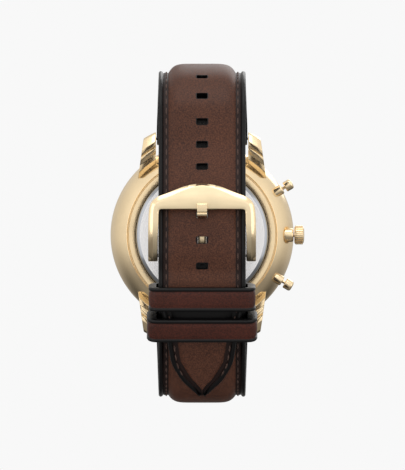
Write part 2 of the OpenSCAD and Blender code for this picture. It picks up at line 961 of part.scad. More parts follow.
module pusher(side) {
  color([0.88, 0.76, 0.6])
    head()
      rotate([0, 0, side * pusher_angle])
        translate([0, 0, crown_z])
          rotate([0, 90, 0]) {
            tube(0.36, 15.2, 23);
            turned([[0, 22.9], [1.1, 22.9], [pusher_d / 2, 23.05],
              [pusher_d / 2, 24.5], [1.1, 24.75], [0.8, pusher_reach],
              [0, pusher_reach]]);
          }
}

module start_pusher_tube() { pusher_tube(1); }
module reset_pusher_tube() { pusher_tube(-1); }
module start_pusher() { pusher(1); }
module reset_pusher() { pusher(-1); }

// ---- hands and wheels ---------------------------------------------------

// Flat tapered hand pointing at 12 o'clock, with a hub.
module hand(length, w0, w1, tail, hub, bore, z0, z1) {
  translate([0, 0, z0])
    linear_extrude(z1 - z0)
      difference() {
        union() {
          polygon([[-w0 / 2, -tail], [w0 / 2, -tail], [w0 / 2, 0],
            [w1 / 2, length - w1], [0, length], [-w1 / 2, length - w1],
            [-w0 / 2, 0]]);
          circle(r = hub, $fn = 48);
        }
        circle(r = bore, $fn = 36);
      }
}

// Turns a hand clockwise to its place on the dial.
module at_angle(angle) {
  rotate([0, 0, -angle])
    children();
}

minute_angle = 54;
hour_angle = 304.5;
fourth_dir = direction(fourth_at, fifth_at);
fifth_phase = mesh_phase(60, 0, 10, fourth_dir);
rotor_phase = mesh_phase(40, 0, 8, direction(fifth_at, rotor_at));
inter_phase = mesh_phase(8, 0, 60, direction([0, 0], inter_at));
counter_phase = mesh_phase(8, 0, 64, direction(inter_at, counter_at));
minute_wheel_dir = direction([0, 0], minute_wheel_at);
minute_wheel_phase = mesh_phase(12, 0, 36, minute_wheel_dir);
hour_phase = mesh_phase(10, 0, 40, minute_wheel_dir + 180);
idler_phase = mesh_phase(20, 0, 31, direction([0, 0], idler_at));
day_phase = mesh_phase(31, idler_phase, 40, direction(idler_at, day_at));

module cannon_pinion() {
  color([0.75, 0.65, 0.4])
    head() {
      tube(0.58, 5.25, 7.45, 0.32);
      difference() {
        gear(12, motion_m, 0, 5.28, 5.5);
        tube(0.5, 5, 6);
      }
    }
}

module minute_hand() {
  color([0.9, 0.78, 0.6])
    head()
      at_angle(minute_angle)
        hand(15.4, 1.1, 0.5, 2.6, 1.1, 0.58, 7.25, 7.4);
}

module minute_wheel() {
  color([0.75, 0.65, 0.4])
    head()
      translate([minute_wheel_at[0], minute_wheel_at[1], 0]) {
        gear(36, motion_m, minute_wheel_phase, 5.28, 5.5, 0.35);
        gear(10, motion_m2, 0, 5.5, 5.8, 0.35);
      }
}

module hour_wheel() {
  color([0.75, 0.65, 0.4])
    head()
      difference() {
        union() {
          gear(40, motion_m2, hour_phase, 5.58, 5.78);
          gear(20, motion_m3, 0, 5.78, 6.06);
          tube(0.92, 5.6, 7.15);
        }
        tube(0.62, 5, 8);
      }
}

module hour_hand() {
  color([0.9, 0.78, 0.6])
    head()
      at_angle(hour_angle)
        hand(9.6, 1.4, 0.7, 2.2, 1.4, 0.92, 6.95, 7.1);
}

module day_idler_wheel() {
  color([0.75, 0.65, 0.4])
    head()
      translate([idler_at[0], idler_at[1], 0])
        gear(31, motion_m3, idler_phase, 5.86, 6.06, 0.35);
}

module day_hand() {
  color([0.9, 0.78, 0.6])
    head()
      translate([day_at[0], day_at[1], 0]) {
        gear(40, motion_m3, day_phase, 5.88, 6.06, 0.32);
        tube(0.4, 6.02, 6.72);
        at_angle(150)
          hand(3.3, 0.6, 0.3, 1, 0.6, 0.4, 6.62, 6.72);
      }
}

module fourth_wheel() {
  color([0.75, 0.65, 0.4])
    head()
      translate([fourth_at[0], fourth_at[1], 0]) {
        gear(60, train_m, 0, 2.8, 2.8 + train_thin);
        tube(0.25, 1.85, 6.72);
      }
}

module seconds_hand() {
  color([0.9, 0.78, 0.6])
    head()
      translate([fourth_at[0], fourth_at[1], 0])
        at_angle(210)
          hand(3.5, 0.45, 0.25, 1.2, 0.55, 0.25, 6.6, 6.7);
}

module fifth_wheel() {
  color([0.75, 0.65, 0.4])
    head()
      translate([fifth_at[0], fifth_at[1], 0]) {
        gear(10, train_m, fifth_phase, 2.6, 3.2);
        gear(40, train_m, 0, 3.7, 3.7 + train_thin);
        tube(0.15, 1.9, 4.7);
      }
}

module rotor() {
  color([0.4, 0.4, 0.45])
    head()
      translate([rotor_at[0], rotor_at[1], 0]) {
        tube(1.2, 2.7, 3.45);
        gear(8, train_m, rotor_phase, 3.4, 4.2);
        tube(0.15, 1.9, 4.7);
      }
}

module chrono_arbor() {
  color([0.7, 0.7, 0.72])
    head() {
      tube(0.28, 1.85, 7.72);
      gear(8, train_m, 0, 2.4, 3.2);
    }
}

module chrono_seconds_hand() {
  color([0.9, 0.78, 0.6])
    head()
      hand(16.4, 0.5, 0.25, 4.6, 0.7, 0.28, 7.55, 7.65);
}

module chrono_intermediate_wheel() {
  color([0.75, 0.65, 0.4])
    head()
      translate([inter_at[0], inter_at[1], 0]) {
        gear(60, train_m, inter_phase, 2.7, 2.95);
        gear(8, train_m, 0, 3.4, 4.2);
        tube(0.15, 1.9, 4.7);
      }
}

module chrono_counter_wheel() {
  color([0.75, 0.65, 0.4])
    head()
      translate([counter_at[0], counter_at[1], 0]) {
        gear(64, train_m, counter_phase, 3.7, 3.7 + train_thin);
        tube(0.25, 1.85, 6.72);
      }
}

module chrono_minutes_hand() {
  color([0.9, 0.78, 0.6])
    head()
      translate([counter_at[0], counter_at[1], 0])
        at_angle(0)
          hand(3.5, 0.45, 0.25, 1.2, 0.55, 0.25, 6.6, 6.7);
}

// ---- parts list ---------------------------------------------------------

mid_case();
bezel();
crystal();
crystal_gasket();
dial_ring();
dial();
hour_markers();
subdial_rings();
case_back();
case_back_gasket();
movement_holder();
main_plate();
train_bridge();
circuit_board();
battery();
battery_clamp();
motor_coil();
stator();
movement_screws();
crown_tube();
start_pusher_tube();
reset_pusher_tube();
spring_bar_six();
spring_bar_twelve();
spring_bar_buckle();
long_strap_upper();
long_strap_lining();
short_strap_upper();
short_strap_lining();
fixed_keeper();
free_keeper();
buckle_frame();
buckle_tongue();
bar_pin_six_crown();
bar_pin_six_far();
bar_pin_twelve_crown();
bar_pin_twelve_far();
bar_pin_buckle_crown();
bar_pin_buckle_far();
crown();
stem();
clutch_wheel();
start_pusher();
reset_pusher();
minute_hand();
cannon_pinion();
minute_wheel();
hour_hand();
hour_wheel();
day_idler_wheel();
day_hand();
seconds_hand();
fourth_wheel();
fifth_wheel();
rotor();
chrono_seconds_hand();
chrono_arbor();
chrono_intermediate_wheel();
chrono_minutes_hand();
chrono_counter_wheel();
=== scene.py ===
# %% [markdown]
# # A chronograph wristwatch, seen from the buckle side
# The watch is closed as if it were on a wrist. Its case faces away from the
# camera, so the view shows the buckle, the keepers, the strap's holes and,
# behind them, the back of the case. The CAD model gives the places and the
# main sizes. This script gives the surfaces: leather, thread, plated and
# brushed metal, glass and a lacquered dial. The visual case, lugs, strap ends
# and hands have no bores, so the stems, pins and arbors pass through them.

# %% Load the frame
import json
import math

import bmesh
import bpy
from mathutils import Matrix, Vector

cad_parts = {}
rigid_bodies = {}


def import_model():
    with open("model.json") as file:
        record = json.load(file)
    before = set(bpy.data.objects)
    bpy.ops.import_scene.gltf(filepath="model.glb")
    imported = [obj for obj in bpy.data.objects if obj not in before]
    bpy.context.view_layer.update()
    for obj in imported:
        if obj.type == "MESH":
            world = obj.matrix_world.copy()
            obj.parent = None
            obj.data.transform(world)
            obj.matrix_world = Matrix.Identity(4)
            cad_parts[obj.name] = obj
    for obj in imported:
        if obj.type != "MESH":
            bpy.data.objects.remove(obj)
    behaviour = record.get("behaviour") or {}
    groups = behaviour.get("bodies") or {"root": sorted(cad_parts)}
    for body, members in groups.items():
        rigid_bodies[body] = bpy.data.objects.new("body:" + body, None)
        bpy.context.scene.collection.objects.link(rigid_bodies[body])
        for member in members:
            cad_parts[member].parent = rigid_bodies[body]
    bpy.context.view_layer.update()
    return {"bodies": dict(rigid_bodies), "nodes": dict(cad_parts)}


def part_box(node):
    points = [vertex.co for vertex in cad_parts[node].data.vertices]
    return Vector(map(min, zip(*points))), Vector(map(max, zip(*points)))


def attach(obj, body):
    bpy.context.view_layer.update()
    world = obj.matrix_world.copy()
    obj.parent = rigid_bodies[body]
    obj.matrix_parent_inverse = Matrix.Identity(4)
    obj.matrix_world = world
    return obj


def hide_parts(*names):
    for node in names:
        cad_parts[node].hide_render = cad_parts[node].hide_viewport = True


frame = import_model()
MM = 0.001
print("bodies:", len(frame["bodies"]), "nodes:", len(frame["nodes"]))

# %% [markdown]
# ## Shader maths in Python
# A Blender material is a graph of nodes. Written by hand, `mask * 0.3 + 0.2`
# takes two nodes and two links. The class below wraps an output socket so
# that the same sum is written as a plain expression, and each operator adds
# its own Math node.

# %% Sockets that add and multiply
class Value:
    """A node's output that can be used in arithmetic."""

    def __init__(self, tree, socket):
        self.tree, self.socket = tree, socket

    def math(self, operation, other=0.0, swap=False):
        node = self.tree.nodes.new("ShaderNodeMath")
        node.operation = operation
        pair = (other, self) if swap else (self, other)
        for slot, value in zip(node.inputs, pair):
            plug(self.tree, slot, value)
        return Value(self.tree, node.outputs[0])

    def __add__(self, o): return self.math("ADD", o)
    def __radd__(self, o): return self.math("ADD", o)
    def __sub__(self, o): return self.math("SUBTRACT", o)
    def __rsub__(self, o): return self.math("SUBTRACT", o, swap=True)
    def __mul__(self, o): return self.math("MULTIPLY", o)
    def __rmul__(self, o): return self.math("MULTIPLY", o)


def plug(tree, socket, value):
    """Links a Value to a socket, or sets a plain number or colour on it."""
    if isinstance(value, Value):
        tree.links.new(value.socket, socket)
    elif hasattr(socket, "default_value"):
        if isinstance(value, (tuple, list)) and len(value) == 3 and socket.type == "RGBA":
            value = (*value, 1.0)
        socket.default_value = value


# %% [markdown]
# ## One object for each finish
# Every finish is a Principled surface with a few things added: a pattern that
# moves the colour, one that moves the roughness, and a fine relief. `Finish`
# makes the empty material and has one method, `node`, for every other node.

# %% A finish
class Finish:
    """A material under construction."""

    def __init__(self, name, **constants):
        self.material = bpy.data.materials.new(name)
        self.material.use_nodes = True
        self.tree = self.material.node_tree
        self.tree.nodes.clear()
        self.surface = self.tree.nodes.new("ShaderNodeBsdfPrincipled")
        output = self.tree.nodes.new("ShaderNodeOutputMaterial")
        self.tree.links.new(self.surface.outputs[0], output.inputs[0])
        self.set(**constants)

    def set(self, **values):
        for name, value in values.items():
            plug(self.tree, self.surface.inputs[name.replace("_", " ")], value)

    def node(self, kind, settings=None, out=0, **inputs):
        made = self.tree.nodes.new("ShaderNode" + kind)
        for key, value in (settings or {}).items():
            if key == "stops":
                ramp = made.color_ramp
                while len(ramp.elements) < len(value):
                    ramp.elements.new(0.5)
                for element, (place, colour) in zip(ramp.elements, value):
                    element.position = place
                    element.color = (*colour, 1.0)
            else:
                setattr(made, key, value)
        for key, value in inputs.items():
            name = int(key[1:]) if key[0] == "i" and key[1:].isdigit() else key
            plug(self.tree, made.inputs[name], value)
        return Value(self.tree, made.outputs[out])

    def place(self):
        return self.node("TexCoord", out="Object")

    def stretched(self, scale, centre=(0, 0, 0), turn=(0, 0, 0)):
        return self.node("Mapping", Vector=self.place(), Location=centre,
                         Rotation=turn, Scale=scale)

    def noise(self, scale, vector=None, detail=4.0, rough=0.55):
        return self.node("TexNoise", Vector=vector or self.place(), Scale=scale,
                         Detail=detail, Roughness=rough)

    def mix(self, factor, a, b):
        return self.node("Mix", {"data_type": "RGBA"}, out=2, i0=factor, i6=a, i7=b)

    def step(self, value, low, high):
        return self.node("MapRange", {"interpolation_type": "SMOOTHSTEP"}, Value=value,
                         i1=low, i2=high)

    def relief(self, height, strength, distance):
        self.set(Normal=self.node("Bump", Height=height, Strength=strength,
                                  Distance=distance))

    def attribute(self, name):
        return self.node("Attribute", {"attribute_name": name}, out="Fac")


def srgb(r, g, b):
    """A colour given as 0-255 screen values, as the linear colour shaders use."""
    return tuple(((c / 255 + 0.055) / 1.055) ** 2.4 if c > 10 else c / 3295 for c in (r, g, b))


# %% [markdown]
# ## Leather
# The strap is smooth calfskin with a semi-gloss dressing. Close up it has a
# fine pebble, broad cloudy tone and faint creases where it bends. Its cut
# edges are painted black and polished. The mesh carries an attribute that
# says how far each point is from the edge, so the black keeps to the bead.
# On the long half the attribute is zero across the whole width in the gap
# between the keepers, so the black there is painted shade.

# %% Leather finishes
def leather(name, light, dark, edge_at=1.05, ledge_to=2.3, rough=0.46):
    f = Finish(name, Coat_Weight=0.03, Coat_Roughness=0.35, Specular_IOR_Level=0.22)
    cloud = f.noise(95, detail=5)
    pebble = f.noise(3600, detail=5, rough=0.65)
    cells = f.node("TexVoronoi", {"feature": "DISTANCE_TO_EDGE"}, Vector=f.place(), Scale=2300)
    edge = f.attribute("edge_mm")
    # Black where the edge distance is small: the painted bead, and on the long half also painted
    # shade between the keepers.
    black = 1.0 - f.step(edge + (cloud - 0.5) * 0.12, edge_at - 0.1, edge_at + 0.1)
    speck = f.step(pebble, 0.36, 0.66)
    tone = f.step(cloud, 0.3, 0.72)
    hide = f.mix(speck * 0.8 + tone * 0.2, dark, light)
    if ledge_to:
        ledge = 1.0 - f.step(edge, ledge_to - 0.12, ledge_to + 0.12)
        hide = f.mix(ledge * 0.92, hide, srgb(22, 10, 9))
    f.set(Base_Color=f.mix(black, hide, srgb(9, 8, 9)))
    f.set(Roughness=(pebble - 0.5) * 0.25 + tone * 0.06 + rough - black * 0.12)
    f.relief(pebble * 0.7 + f.step(cells, 0.0, 0.12) * 0.3, 0.22, 0.00009)
    return f.material


strap_leather = leather("strap_calfskin", srgb(92, 54, 36), srgb(46, 22, 13))
keeper_leather = leather("keeper_calfskin", srgb(78, 34, 22), srgb(40, 15, 9), edge_at=0.85,
                         ledge_to=None)
lining_leather = leather("lining_leather", srgb(40, 28, 23), srgb(24, 16, 13), ledge_to=None,
                         rough=0.6)
print("leather finishes:", strap_leather.name, keeper_leather.name, lining_leather.name)

# %% [markdown]
# ## Thread
# Bonded polyester thread, two plies twisted together. The ply shows as a
# fine slanted wave across each stitch, put in as colour and relief.

# %% Thread finish
def thread_finish():
    f = Finish("waxed_thread", Specular_IOR_Level=0.35)
    ply = f.node("TexWave", {"wave_type": "BANDS", "bands_direction": "DIAGONAL"},
                 Vector=f.place(), Scale=1500, Distortion=0.6)
    f.set(Base_Color=f.mix(ply, srgb(48, 32, 27), srgb(86, 64, 56)), Roughness=ply * 0.15 + 0.5)
    f.relief(ply, 0.4, 0.00004)
    return f.material


thread = thread_finish()

# %% [markdown]
# ## Plated and brushed metal
# The case is rose-gold plate, polished to a mirror that is never quite even.
# Fine polishing haze moves its roughness, and a very low relief bends the
# reflections. The buckle's face is brushed lengthwise: noise stretched a
# hundredfold along one axis makes the brush lines.

# %% Metal finishes
def metal(name, colour, rough=0.16, brush=None, haze=0.05, depth=0.000004, centre=(0, 0, 0)):
    f = Finish(name, Metallic=1.0)
    broad = f.noise(160, detail=3)
    if brush:
        lines = f.noise(1.0, f.stretched(brush, centre), detail=6, rough=0.7)
    else:
        lines = f.noise(3000, detail=4)
    wear = f.step(broad, 0.35, 0.75)
    f.set(Base_Color=f.mix(wear * 0.4 + (lines - 0.5) * 0.5, colour,
                           tuple(c * 0.82 for c in colour)))
    f.set(Roughness=lines * haze * 2 + wear * haze * 0.6 + rough - haze)
    f.relief(lines, 0.3 if brush else 0.12, depth)
    return f.material


ROSE_GOLD = srgb(247, 223, 182)
gold = metal("polished_rose_gold", ROSE_GOLD, rough=0.2)
gold_satin = metal("brushed_rose_gold", srgb(246, 226, 188), rough=0.36,
                   brush=(120, 9000, 9000), haze=0.1, depth=0.00001)
gold_tongue = metal("tongue_rose_gold", srgb(246, 223, 184), rough=0.24,
                    brush=(6000, 300, 300), haze=0.06)
steel = metal("turned_steel", srgb(200, 200, 204), rough=0.22, brush=(300, 9000, 9000))
dark_steel = metal("blued_screws", srgb(150, 152, 160), rough=0.25)
brass = metal("satin_brass", srgb(214, 184, 122), rough=0.3, brush=(9000, 9000, 300))
copper = metal("copper_winding", srgb(200, 120, 80), rough=0.35, brush=(9000, 300, 9000),
               depth=0.00004)


# %% [markdown]
# ## The case back's turned steel
# A case back is finished on a lathe, so its marks are circles round the
# middle. The distance from the axis goes into a noise: every point at the
# same radius gets the same value, which draws fine rings. The bevel round
# the disc is mirror polished, so the rings fade out past its radius.

# %% Case back finish
def case_back_finish():
    f = Finish("turned_case_back", Metallic=1.0)
    flat = f.stretched((1000, 0, 1000))
    radius = f.node("VectorMath", {"operation": "LENGTH"}, out="Value", i0=flat)
    rings = f.node("TexNoise", {"noise_dimensions": "1D"}, W=radius, Scale=14, Detail=5,
                   Roughness=0.7)
    bevel = f.step(radius, 14.85, 14.95)
    cloud = f.noise(120, detail=3)
    f.set(Base_Color=f.mix(bevel, srgb(246, 246, 248), srgb(150, 152, 156)))
    f.set(Roughness=(rings * 0.12 + cloud * 0.06 + 0.17) * (1.0 - bevel) + bevel * 0.14)
    f.relief(rings * (1.0 - bevel), 0.35, 0.00001)
    return f.material


case_back_steel = case_back_finish()


# %% [markdown]
# ## Dial, print, glass and the hidden materials
# The dial is cream lacquer over a sunray brushing, which is noise on the
# angle round the centre. The glass is sapphire. The movement, holder and
# gaskets are inside the case, but each still has a finish of its own.

# %% Dial and inner finishes
def dial_finish():
    f = Finish("cream_lacquer", Coat_Weight=0.5, Coat_Roughness=0.08, Metallic=0.25)
    parts = f.node("SeparateXYZ", Vector=f.place(), out="X")
    sep = parts.socket.node
    angle = Value(f.tree, sep.outputs["X"]).math("ARCTAN2", Value(f.tree, sep.outputs["Z"]))
    rays = f.node("TexNoise", {"noise_dimensions": "1D"}, W=angle, Scale=60, Detail=6,
                  Roughness=0.7)
    f.set(Base_Color=f.mix(rays, srgb(242, 237, 222), srgb(226, 219, 200)),
          Roughness=rays * 0.2 + 0.28)
    f.relief(rays, 0.12, 0.00002)
    return f.material


def plain(name, colour, rough=0.5, grain=1500, depth=0.00003, **constants):
    f = Finish(name, **constants)
    speck = f.noise(grain, detail=4)
    f.set(Base_Color=f.mix(speck, tuple(c * 0.86 for c in colour), colour),
          Roughness=speck * 0.16 + rough - 0.08)
    f.relief(speck, 0.25, depth)
    return f.material


def glass_finish():
    f = Finish("sapphire", Transmission_Weight=1.0, IOR=1.45, Base_Color=(0.98, 0.99, 1.0, 1.0))
    haze = f.noise(400, detail=2)
    f.set(Roughness=haze * 0.02)
    return f.material


dial_lacquer = dial_finish()
glass = glass_finish()
ink = plain("printed_ink", srgb(52, 40, 34), rough=0.45)
rubber = plain("gasket_rubber", srgb(30, 30, 31), rough=0.7)
holder_plastic = plain("holder_plastic", srgb(214, 214, 208), rough=0.5)
board_green = plain("circuit_board", srgb(42, 104, 62), rough=0.4, grain=5000)
print("materials so far:", len(bpy.data.materials))

# %% [markdown]
# ## Making a piece
# Every piece is a mesh whose vertices are already in place, so its object
# stays at the origin. The helper takes points in millimetres, rides the
# piece on its body, fills its material slot and hides the CAD node that it
# stands for. Edges sharper than about 30 degrees stay crisp.

# %% Piece helper
HEAD_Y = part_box("case_back")[0].y / MM
HEAD = Matrix.Translation((0, HEAD_Y, 0)) @ Matrix.Rotation(math.radians(-90), 4, "X")


def add_piece(name, mesh, material, body, replaces=(), matrix=None, scale=MM, crisp=32):
    if matrix is not None:
        mesh.transform(matrix)
    mesh.transform(Matrix.Scale(scale, 4))
    if material is not None:
        mesh.materials.clear()
        mesh.materials.append(material)
    mesh.polygons.foreach_set("use_smooth", [True] * len(mesh.polygons))
    mesh.set_sharp_from_angle(angle=math.radians(crisp))
    mesh.name = name
    piece = bpy.data.objects.new(name, mesh)
    bpy.context.scene.collection.objects.link(piece)
    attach(piece, body)
    if replaces:
        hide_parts(*replaces)
    return piece


def mesh_from(points, faces, name="mesh"):
    mesh = bpy.data.meshes.new(name)
    mesh.from_pydata([tuple(p) for p in points], [], faces)
    tidy(mesh)
    return mesh


def tidy(mesh, merge=1e-4):
    """Merges doubles and turns every face outwards."""
    work = bmesh.new()
    work.from_mesh(mesh)
    bmesh.ops.remove_doubles(work, verts=work.verts, dist=merge)
    bmesh.ops.recalc_face_normals(work, faces=work.faces)
    work.to_mesh(mesh)
    work.free()
    mesh.update()


def joined(meshes):
    """One mesh from several."""
    work = bmesh.new()
    for m in meshes:
        work.from_mesh(m)
    result = bpy.data.meshes.new("joined")
    work.to_mesh(result)
    work.free()
    return result


# %% [markdown]
# ## Turned shapes
# Most of a watch case is turned: a profile spun round an axis. Sharp corners
# on a real case always carry a small radius, and that radius is what catches
# the light, so `eased` rounds each corner of the profile first.

# %% Lathe
def eased(points, radius, steps=3, closed=True):
    """Rounds the corners of an outline of [a, b] points."""
    result = []
    count = len(points)
    for i, p in enumerate(points):
        p = Vector(p)
        before, after = Vector(points[i - 1]), Vector(points[(i + 1) % count])
        if (not closed and i in (0, count - 1)) or p.x < 1e-6:
            result.append(tuple(p))
            continue
        a, b = before - p, after - p
        reach = min(radius, a.length * 0.4, b.length * 0.4)
        a, b = p + a.normalized() * reach, p + b.normalized() * reach
        for k in range(steps + 1):
            t = k / steps
            result.append(tuple(a * (1 - t) ** 2 + p * 2 * t * (1 - t) + b * t * t))
    return result


def lathe(profile, segments=128, radius=0.12, steps=3):
    """A closed profile of [radius, height] points spun round z."""
    outline = eased(profile, radius, steps) if radius else profile
    points, faces = [], []
    count = len(outline)
    for s in range(segments):
        angle = 2 * math.pi * s / segments
        c, sn = math.cos(angle), math.sin(angle)
        points += [(r * c, r * sn, z) for r, z in outline]
    for s in range(segments):
        a, b = s * count, (s + 1) % segments * count
        for i in range(count):
            j = (i + 1) % count
            if outline[i][0] < 1e-6 and outline[j][0] < 1e-6:
                continue
            faces.append((a + i, b + i, b + j, a + j))
    return mesh_from(points, faces, "lathe")


def inset(outline, amount):
    """A closed outline moved inwards, point by point."""
    count = len(outline)
    area = sum(outline[i - 1][0] * outline[i][1] - outline[i][0] * outline[i - 1][1]
               for i in range(count))
    side = 1 if area > 0 else -1
    result = []
    for i, p in enumerate(outline):
        before = Vector(p) - Vector(outline[i - 1])
        after = Vector(outline[(i + 1) % count]) - Vector(p)
        along = before.normalized() + after.normalized()
        n = Vector((-along.y, along.x)).normalized() * side * amount
        result.append((p[0] + n.x, p[1] + n.y))
    return result


def slab(outline, low, high, ease, place):
    """A side outline given thickness, with eased rims. place(t, a, b) makes a point."""
    e = ease / (high - low)
    rings = [(0, ease), (e * 0.3, ease * 0.3), (e, 0), (0.35, 0), (0.65, 0), (1 - e, 0),
             (1 - e * 0.3, ease * 0.3), (1, ease)]
    points, faces, n = [], [], len(outline)
    for t, amount in rings:
        points += [place(t, a, b) for a, b in (inset(outline, amount) if amount else outline)]
    for r in range(len(rings) - 1):
        faces += [(r * n + i, r * n + (i + 1) % n, (r + 1) * n + (i + 1) % n, (r + 1) * n + i)
                  for i in range(n)]
    faces += [tuple(range(n)), tuple(range((len(rings) - 1) * n, len(rings) * n))]
    return mesh_from(points, faces, "slab")


# %% [markdown]
# ## The strap's path
# Both strap halves follow a given line of points on the inside of the
# leather, the same ones that the CAD model sweeps. A Catmull-Rom spline runs
# through them. Everything on the strap is placed by the distance run along
# this line: holes every 5.5 millimetres, stitches, keepers and the tip.

# %% Path
def catmull(a, b, c, d, t):
    return tuple(0.5 * (2 * q + (r - p) * t + (2 * p - 5 * q + 4 * r - s) * t * t
                        + (3 * q - p - 3 * r + s) * t ** 3)
                 for p, q, r, s in zip(a, b, c, d))


def spline(points, steps):
    last = len(points) - 1
    line = [catmull(points[max(i - 1, 0)], points[i], points[i + 1],
                    points[min(i + 2, last)], k / steps)
            for i in range(last) for k in range(steps)]
    return line + [tuple(points[last])]


def lookup(s, table):
    for (a, p), (b, q) in zip(table, table[1:]):
        if s <= b:
            return p + (q - p) * max(0.0, (s - a)) / (b - a)
    return table[-1][1]


class Path:
    """A line of [y, z] points, measured by the distance run along it."""

    def __init__(self, points, side):
        self.points, self.side = points, side
        self.run = [0.0]
        for a, b in zip(points, points[1:]):
            self.run.append(self.run[-1] + math.dist(a, b))
        self.length = self.run[-1]

    def at(self, s):
        """The point at run s and the strap's outward normal there."""
        s = min(max(s, 0.0), self.length)
        i = max(k for k in range(len(self.run) - 1) if self.run[k] <= s)
        f = (s - self.run[i]) / (self.run[i + 1] - self.run[i])
        a, b = self.points[i], self.points[i + 1]
        here = (a[0] + f * (b[0] - a[0]), a[1] + f * (b[1] - a[1]))
        return here, self.normal(i, f)

    def normal(self, i, f=0.0):
        last = len(self.points) - 1
        n = []
        for k in (i, i + 1):
            p, q = self.points[max(k - 1, 0)], self.points[min(k + 1, last)]
            d = Vector((q[0] - p[0], q[1] - p[1])).normalized()
            n.append(Vector((-d.y, d.x)) * self.side)
        return tuple(n[0].lerp(n[1], f).normalized())


# %% Strap sizes
BAR_Y, BAR_REACH, BAR_HALF = HEAD_Y + 3, 23.2, 10.85
EDGE_T, LINING_T = 2.0, 1.0
BUCKLE_BAR = (-24.1, -4.6)
short_points = [(BAR_Y - 1.5, -BAR_REACH + 0.6), (25, -25.8), (23.7, -28.8), (20, -32.2),
                (13, -35), (4, -36), (-5, -34.8), (-12.5, -31), (-17.8, -25.4),
                (-21, -18.6), (-22.4, -12), (-22.6, BUCKLE_BAR[1] - 3.4)]
long_lead = [(BAR_Y - 1.5, BAR_REACH - 0.6), (25, 25.6), (23.6, 28.6), (19.8, 32),
             (12, 35.2), (3, 36.3), (-6, 36), (-13.5, 34), (-17.8, 30), (-19.4, 25.5),
             (-20.6, 20.5), (-22.4, 15.5), (-24.3, 10), (-25.3, 5), (-25.8, 1), (-25.9, -3.6)]
short_path = Path(spline(short_points, 12), 1)
SHORT = short_path.length


def short_half(s):
    return lookup(s, [(0, BAR_HALF), (3.5, BAR_HALF), (6, 10.7), (14, 10.45), (24, 10.25),
                      (40, 10.1), (SHORT - 18, 10), (SHORT, 10)])


def short_pad(s):
    return lookup(s, [(0, 0.2), (3, 0.9), (9, 1.9), (26, 1.5), (44, 0.7), (58, 0.3), (SHORT, 0.3)])


coarse = Path(spline(short_points, 4), 1)
OVERLAP_GAP = 0.2
long_tail = []
for i in range(len(coarse.points) - 1, 23, -3):
    lift = EDGE_T + short_pad(coarse.run[i]) + OVERLAP_GAP
    n = coarse.normal(i)
    long_tail.append(tuple(c + lift * k for c, k in zip(coarse.points[i], n)))
long_path = Path(spline(long_lead + long_tail, 10), -1)
LONG = long_path.length


def long_half(s):
    return lookup(s, [(0, BAR_HALF), (3.5, BAR_HALF), (6, 10.7), (14, 10.45), (24, 10.25),
                      (38, 10.1), (60, 10), (LONG - 26, 10), (LONG - 19, 8.3),
                      (LONG - 11, 7.1), (LONG - 5.8, 4.6), (LONG - 1.4, 1.7), (LONG, 0.7)])


def long_pad(s):
    return lookup(s, [(0, 0.2), (3, 0.9), (9, 1.9), (30, 1.9), (44, 0.9), (60, 0.4),
                      (72, 0.3), (LONG - 20, 0.2), (LONG, 0.1)])


print(f"short half {SHORT:.1f} mm, long half {LONG:.1f} mm")

# %% [markdown]
# ## The strap's upper
# A padded strap is a filler sewn between the upper and the lining. Across the
# strap the surface goes: a painted bead, a creased groove, a flat ledge with
# the stitches, a steep rise and a nearly flat crown. One function gives that
# cross section, and it is swept along the path. Smoothed widths keep the
# outline fair. The holes are cut as real openings.

# %% Sweep
def upper_outline(w, pad, lean):
    """Half of the cross section from the edge to the middle, as [x, height, edge distance]."""
    k = min(lean, w / 2.6)
    t = EDGE_T
    ledge = t - 0.36
    rim = [(0, LINING_T), (0, t - 0.55), (0.06, t - 0.3), (0.22, t - 0.1), (0.45, t),
           (0.68, t - 0.04), (0.88, t - 0.18), (1.02, t - 0.4), (1.14, t - 0.5),
           (1.26, t - 0.45), (1.4, ledge - 0.02), (1.7, ledge), (1.98, ledge - 0.02),
           (2.16, ledge - 0.09), (2.3, ledge - 0.06)]
    half = [(w - inset * k, h) for inset, h in rim]
    start = w - 2.3 * k
    for j in range(1, 15):
        u = (j / 14) ** 1.9
        rise = 1 - (1 - u) ** 7
        half.append((start * (1 - u), ledge - 0.06 + (pad + 0.42) * rise))
    return [(x, h, (w - x) / lean) for x, h in half]


def lining_outline(w, pad, lean):
    return [(w, LINING_T, 0.2), (w, 0.3, 0.2), (w - 0.1, 0.08, 0.3), (w - 0.3, 0.0, 0.5),
            (w * 0.66, 0.0, w * 0.34), (w * 0.33, 0.0, w * 0.67), (0, 0.0, w)]


def mean_near(value_at, s, step):
    """The mean of a width or padding at five places round run s, which softens its corners."""
    return sum(value_at(s + k * step) for k in (-2, -1, 0, 1, 2)) / 5


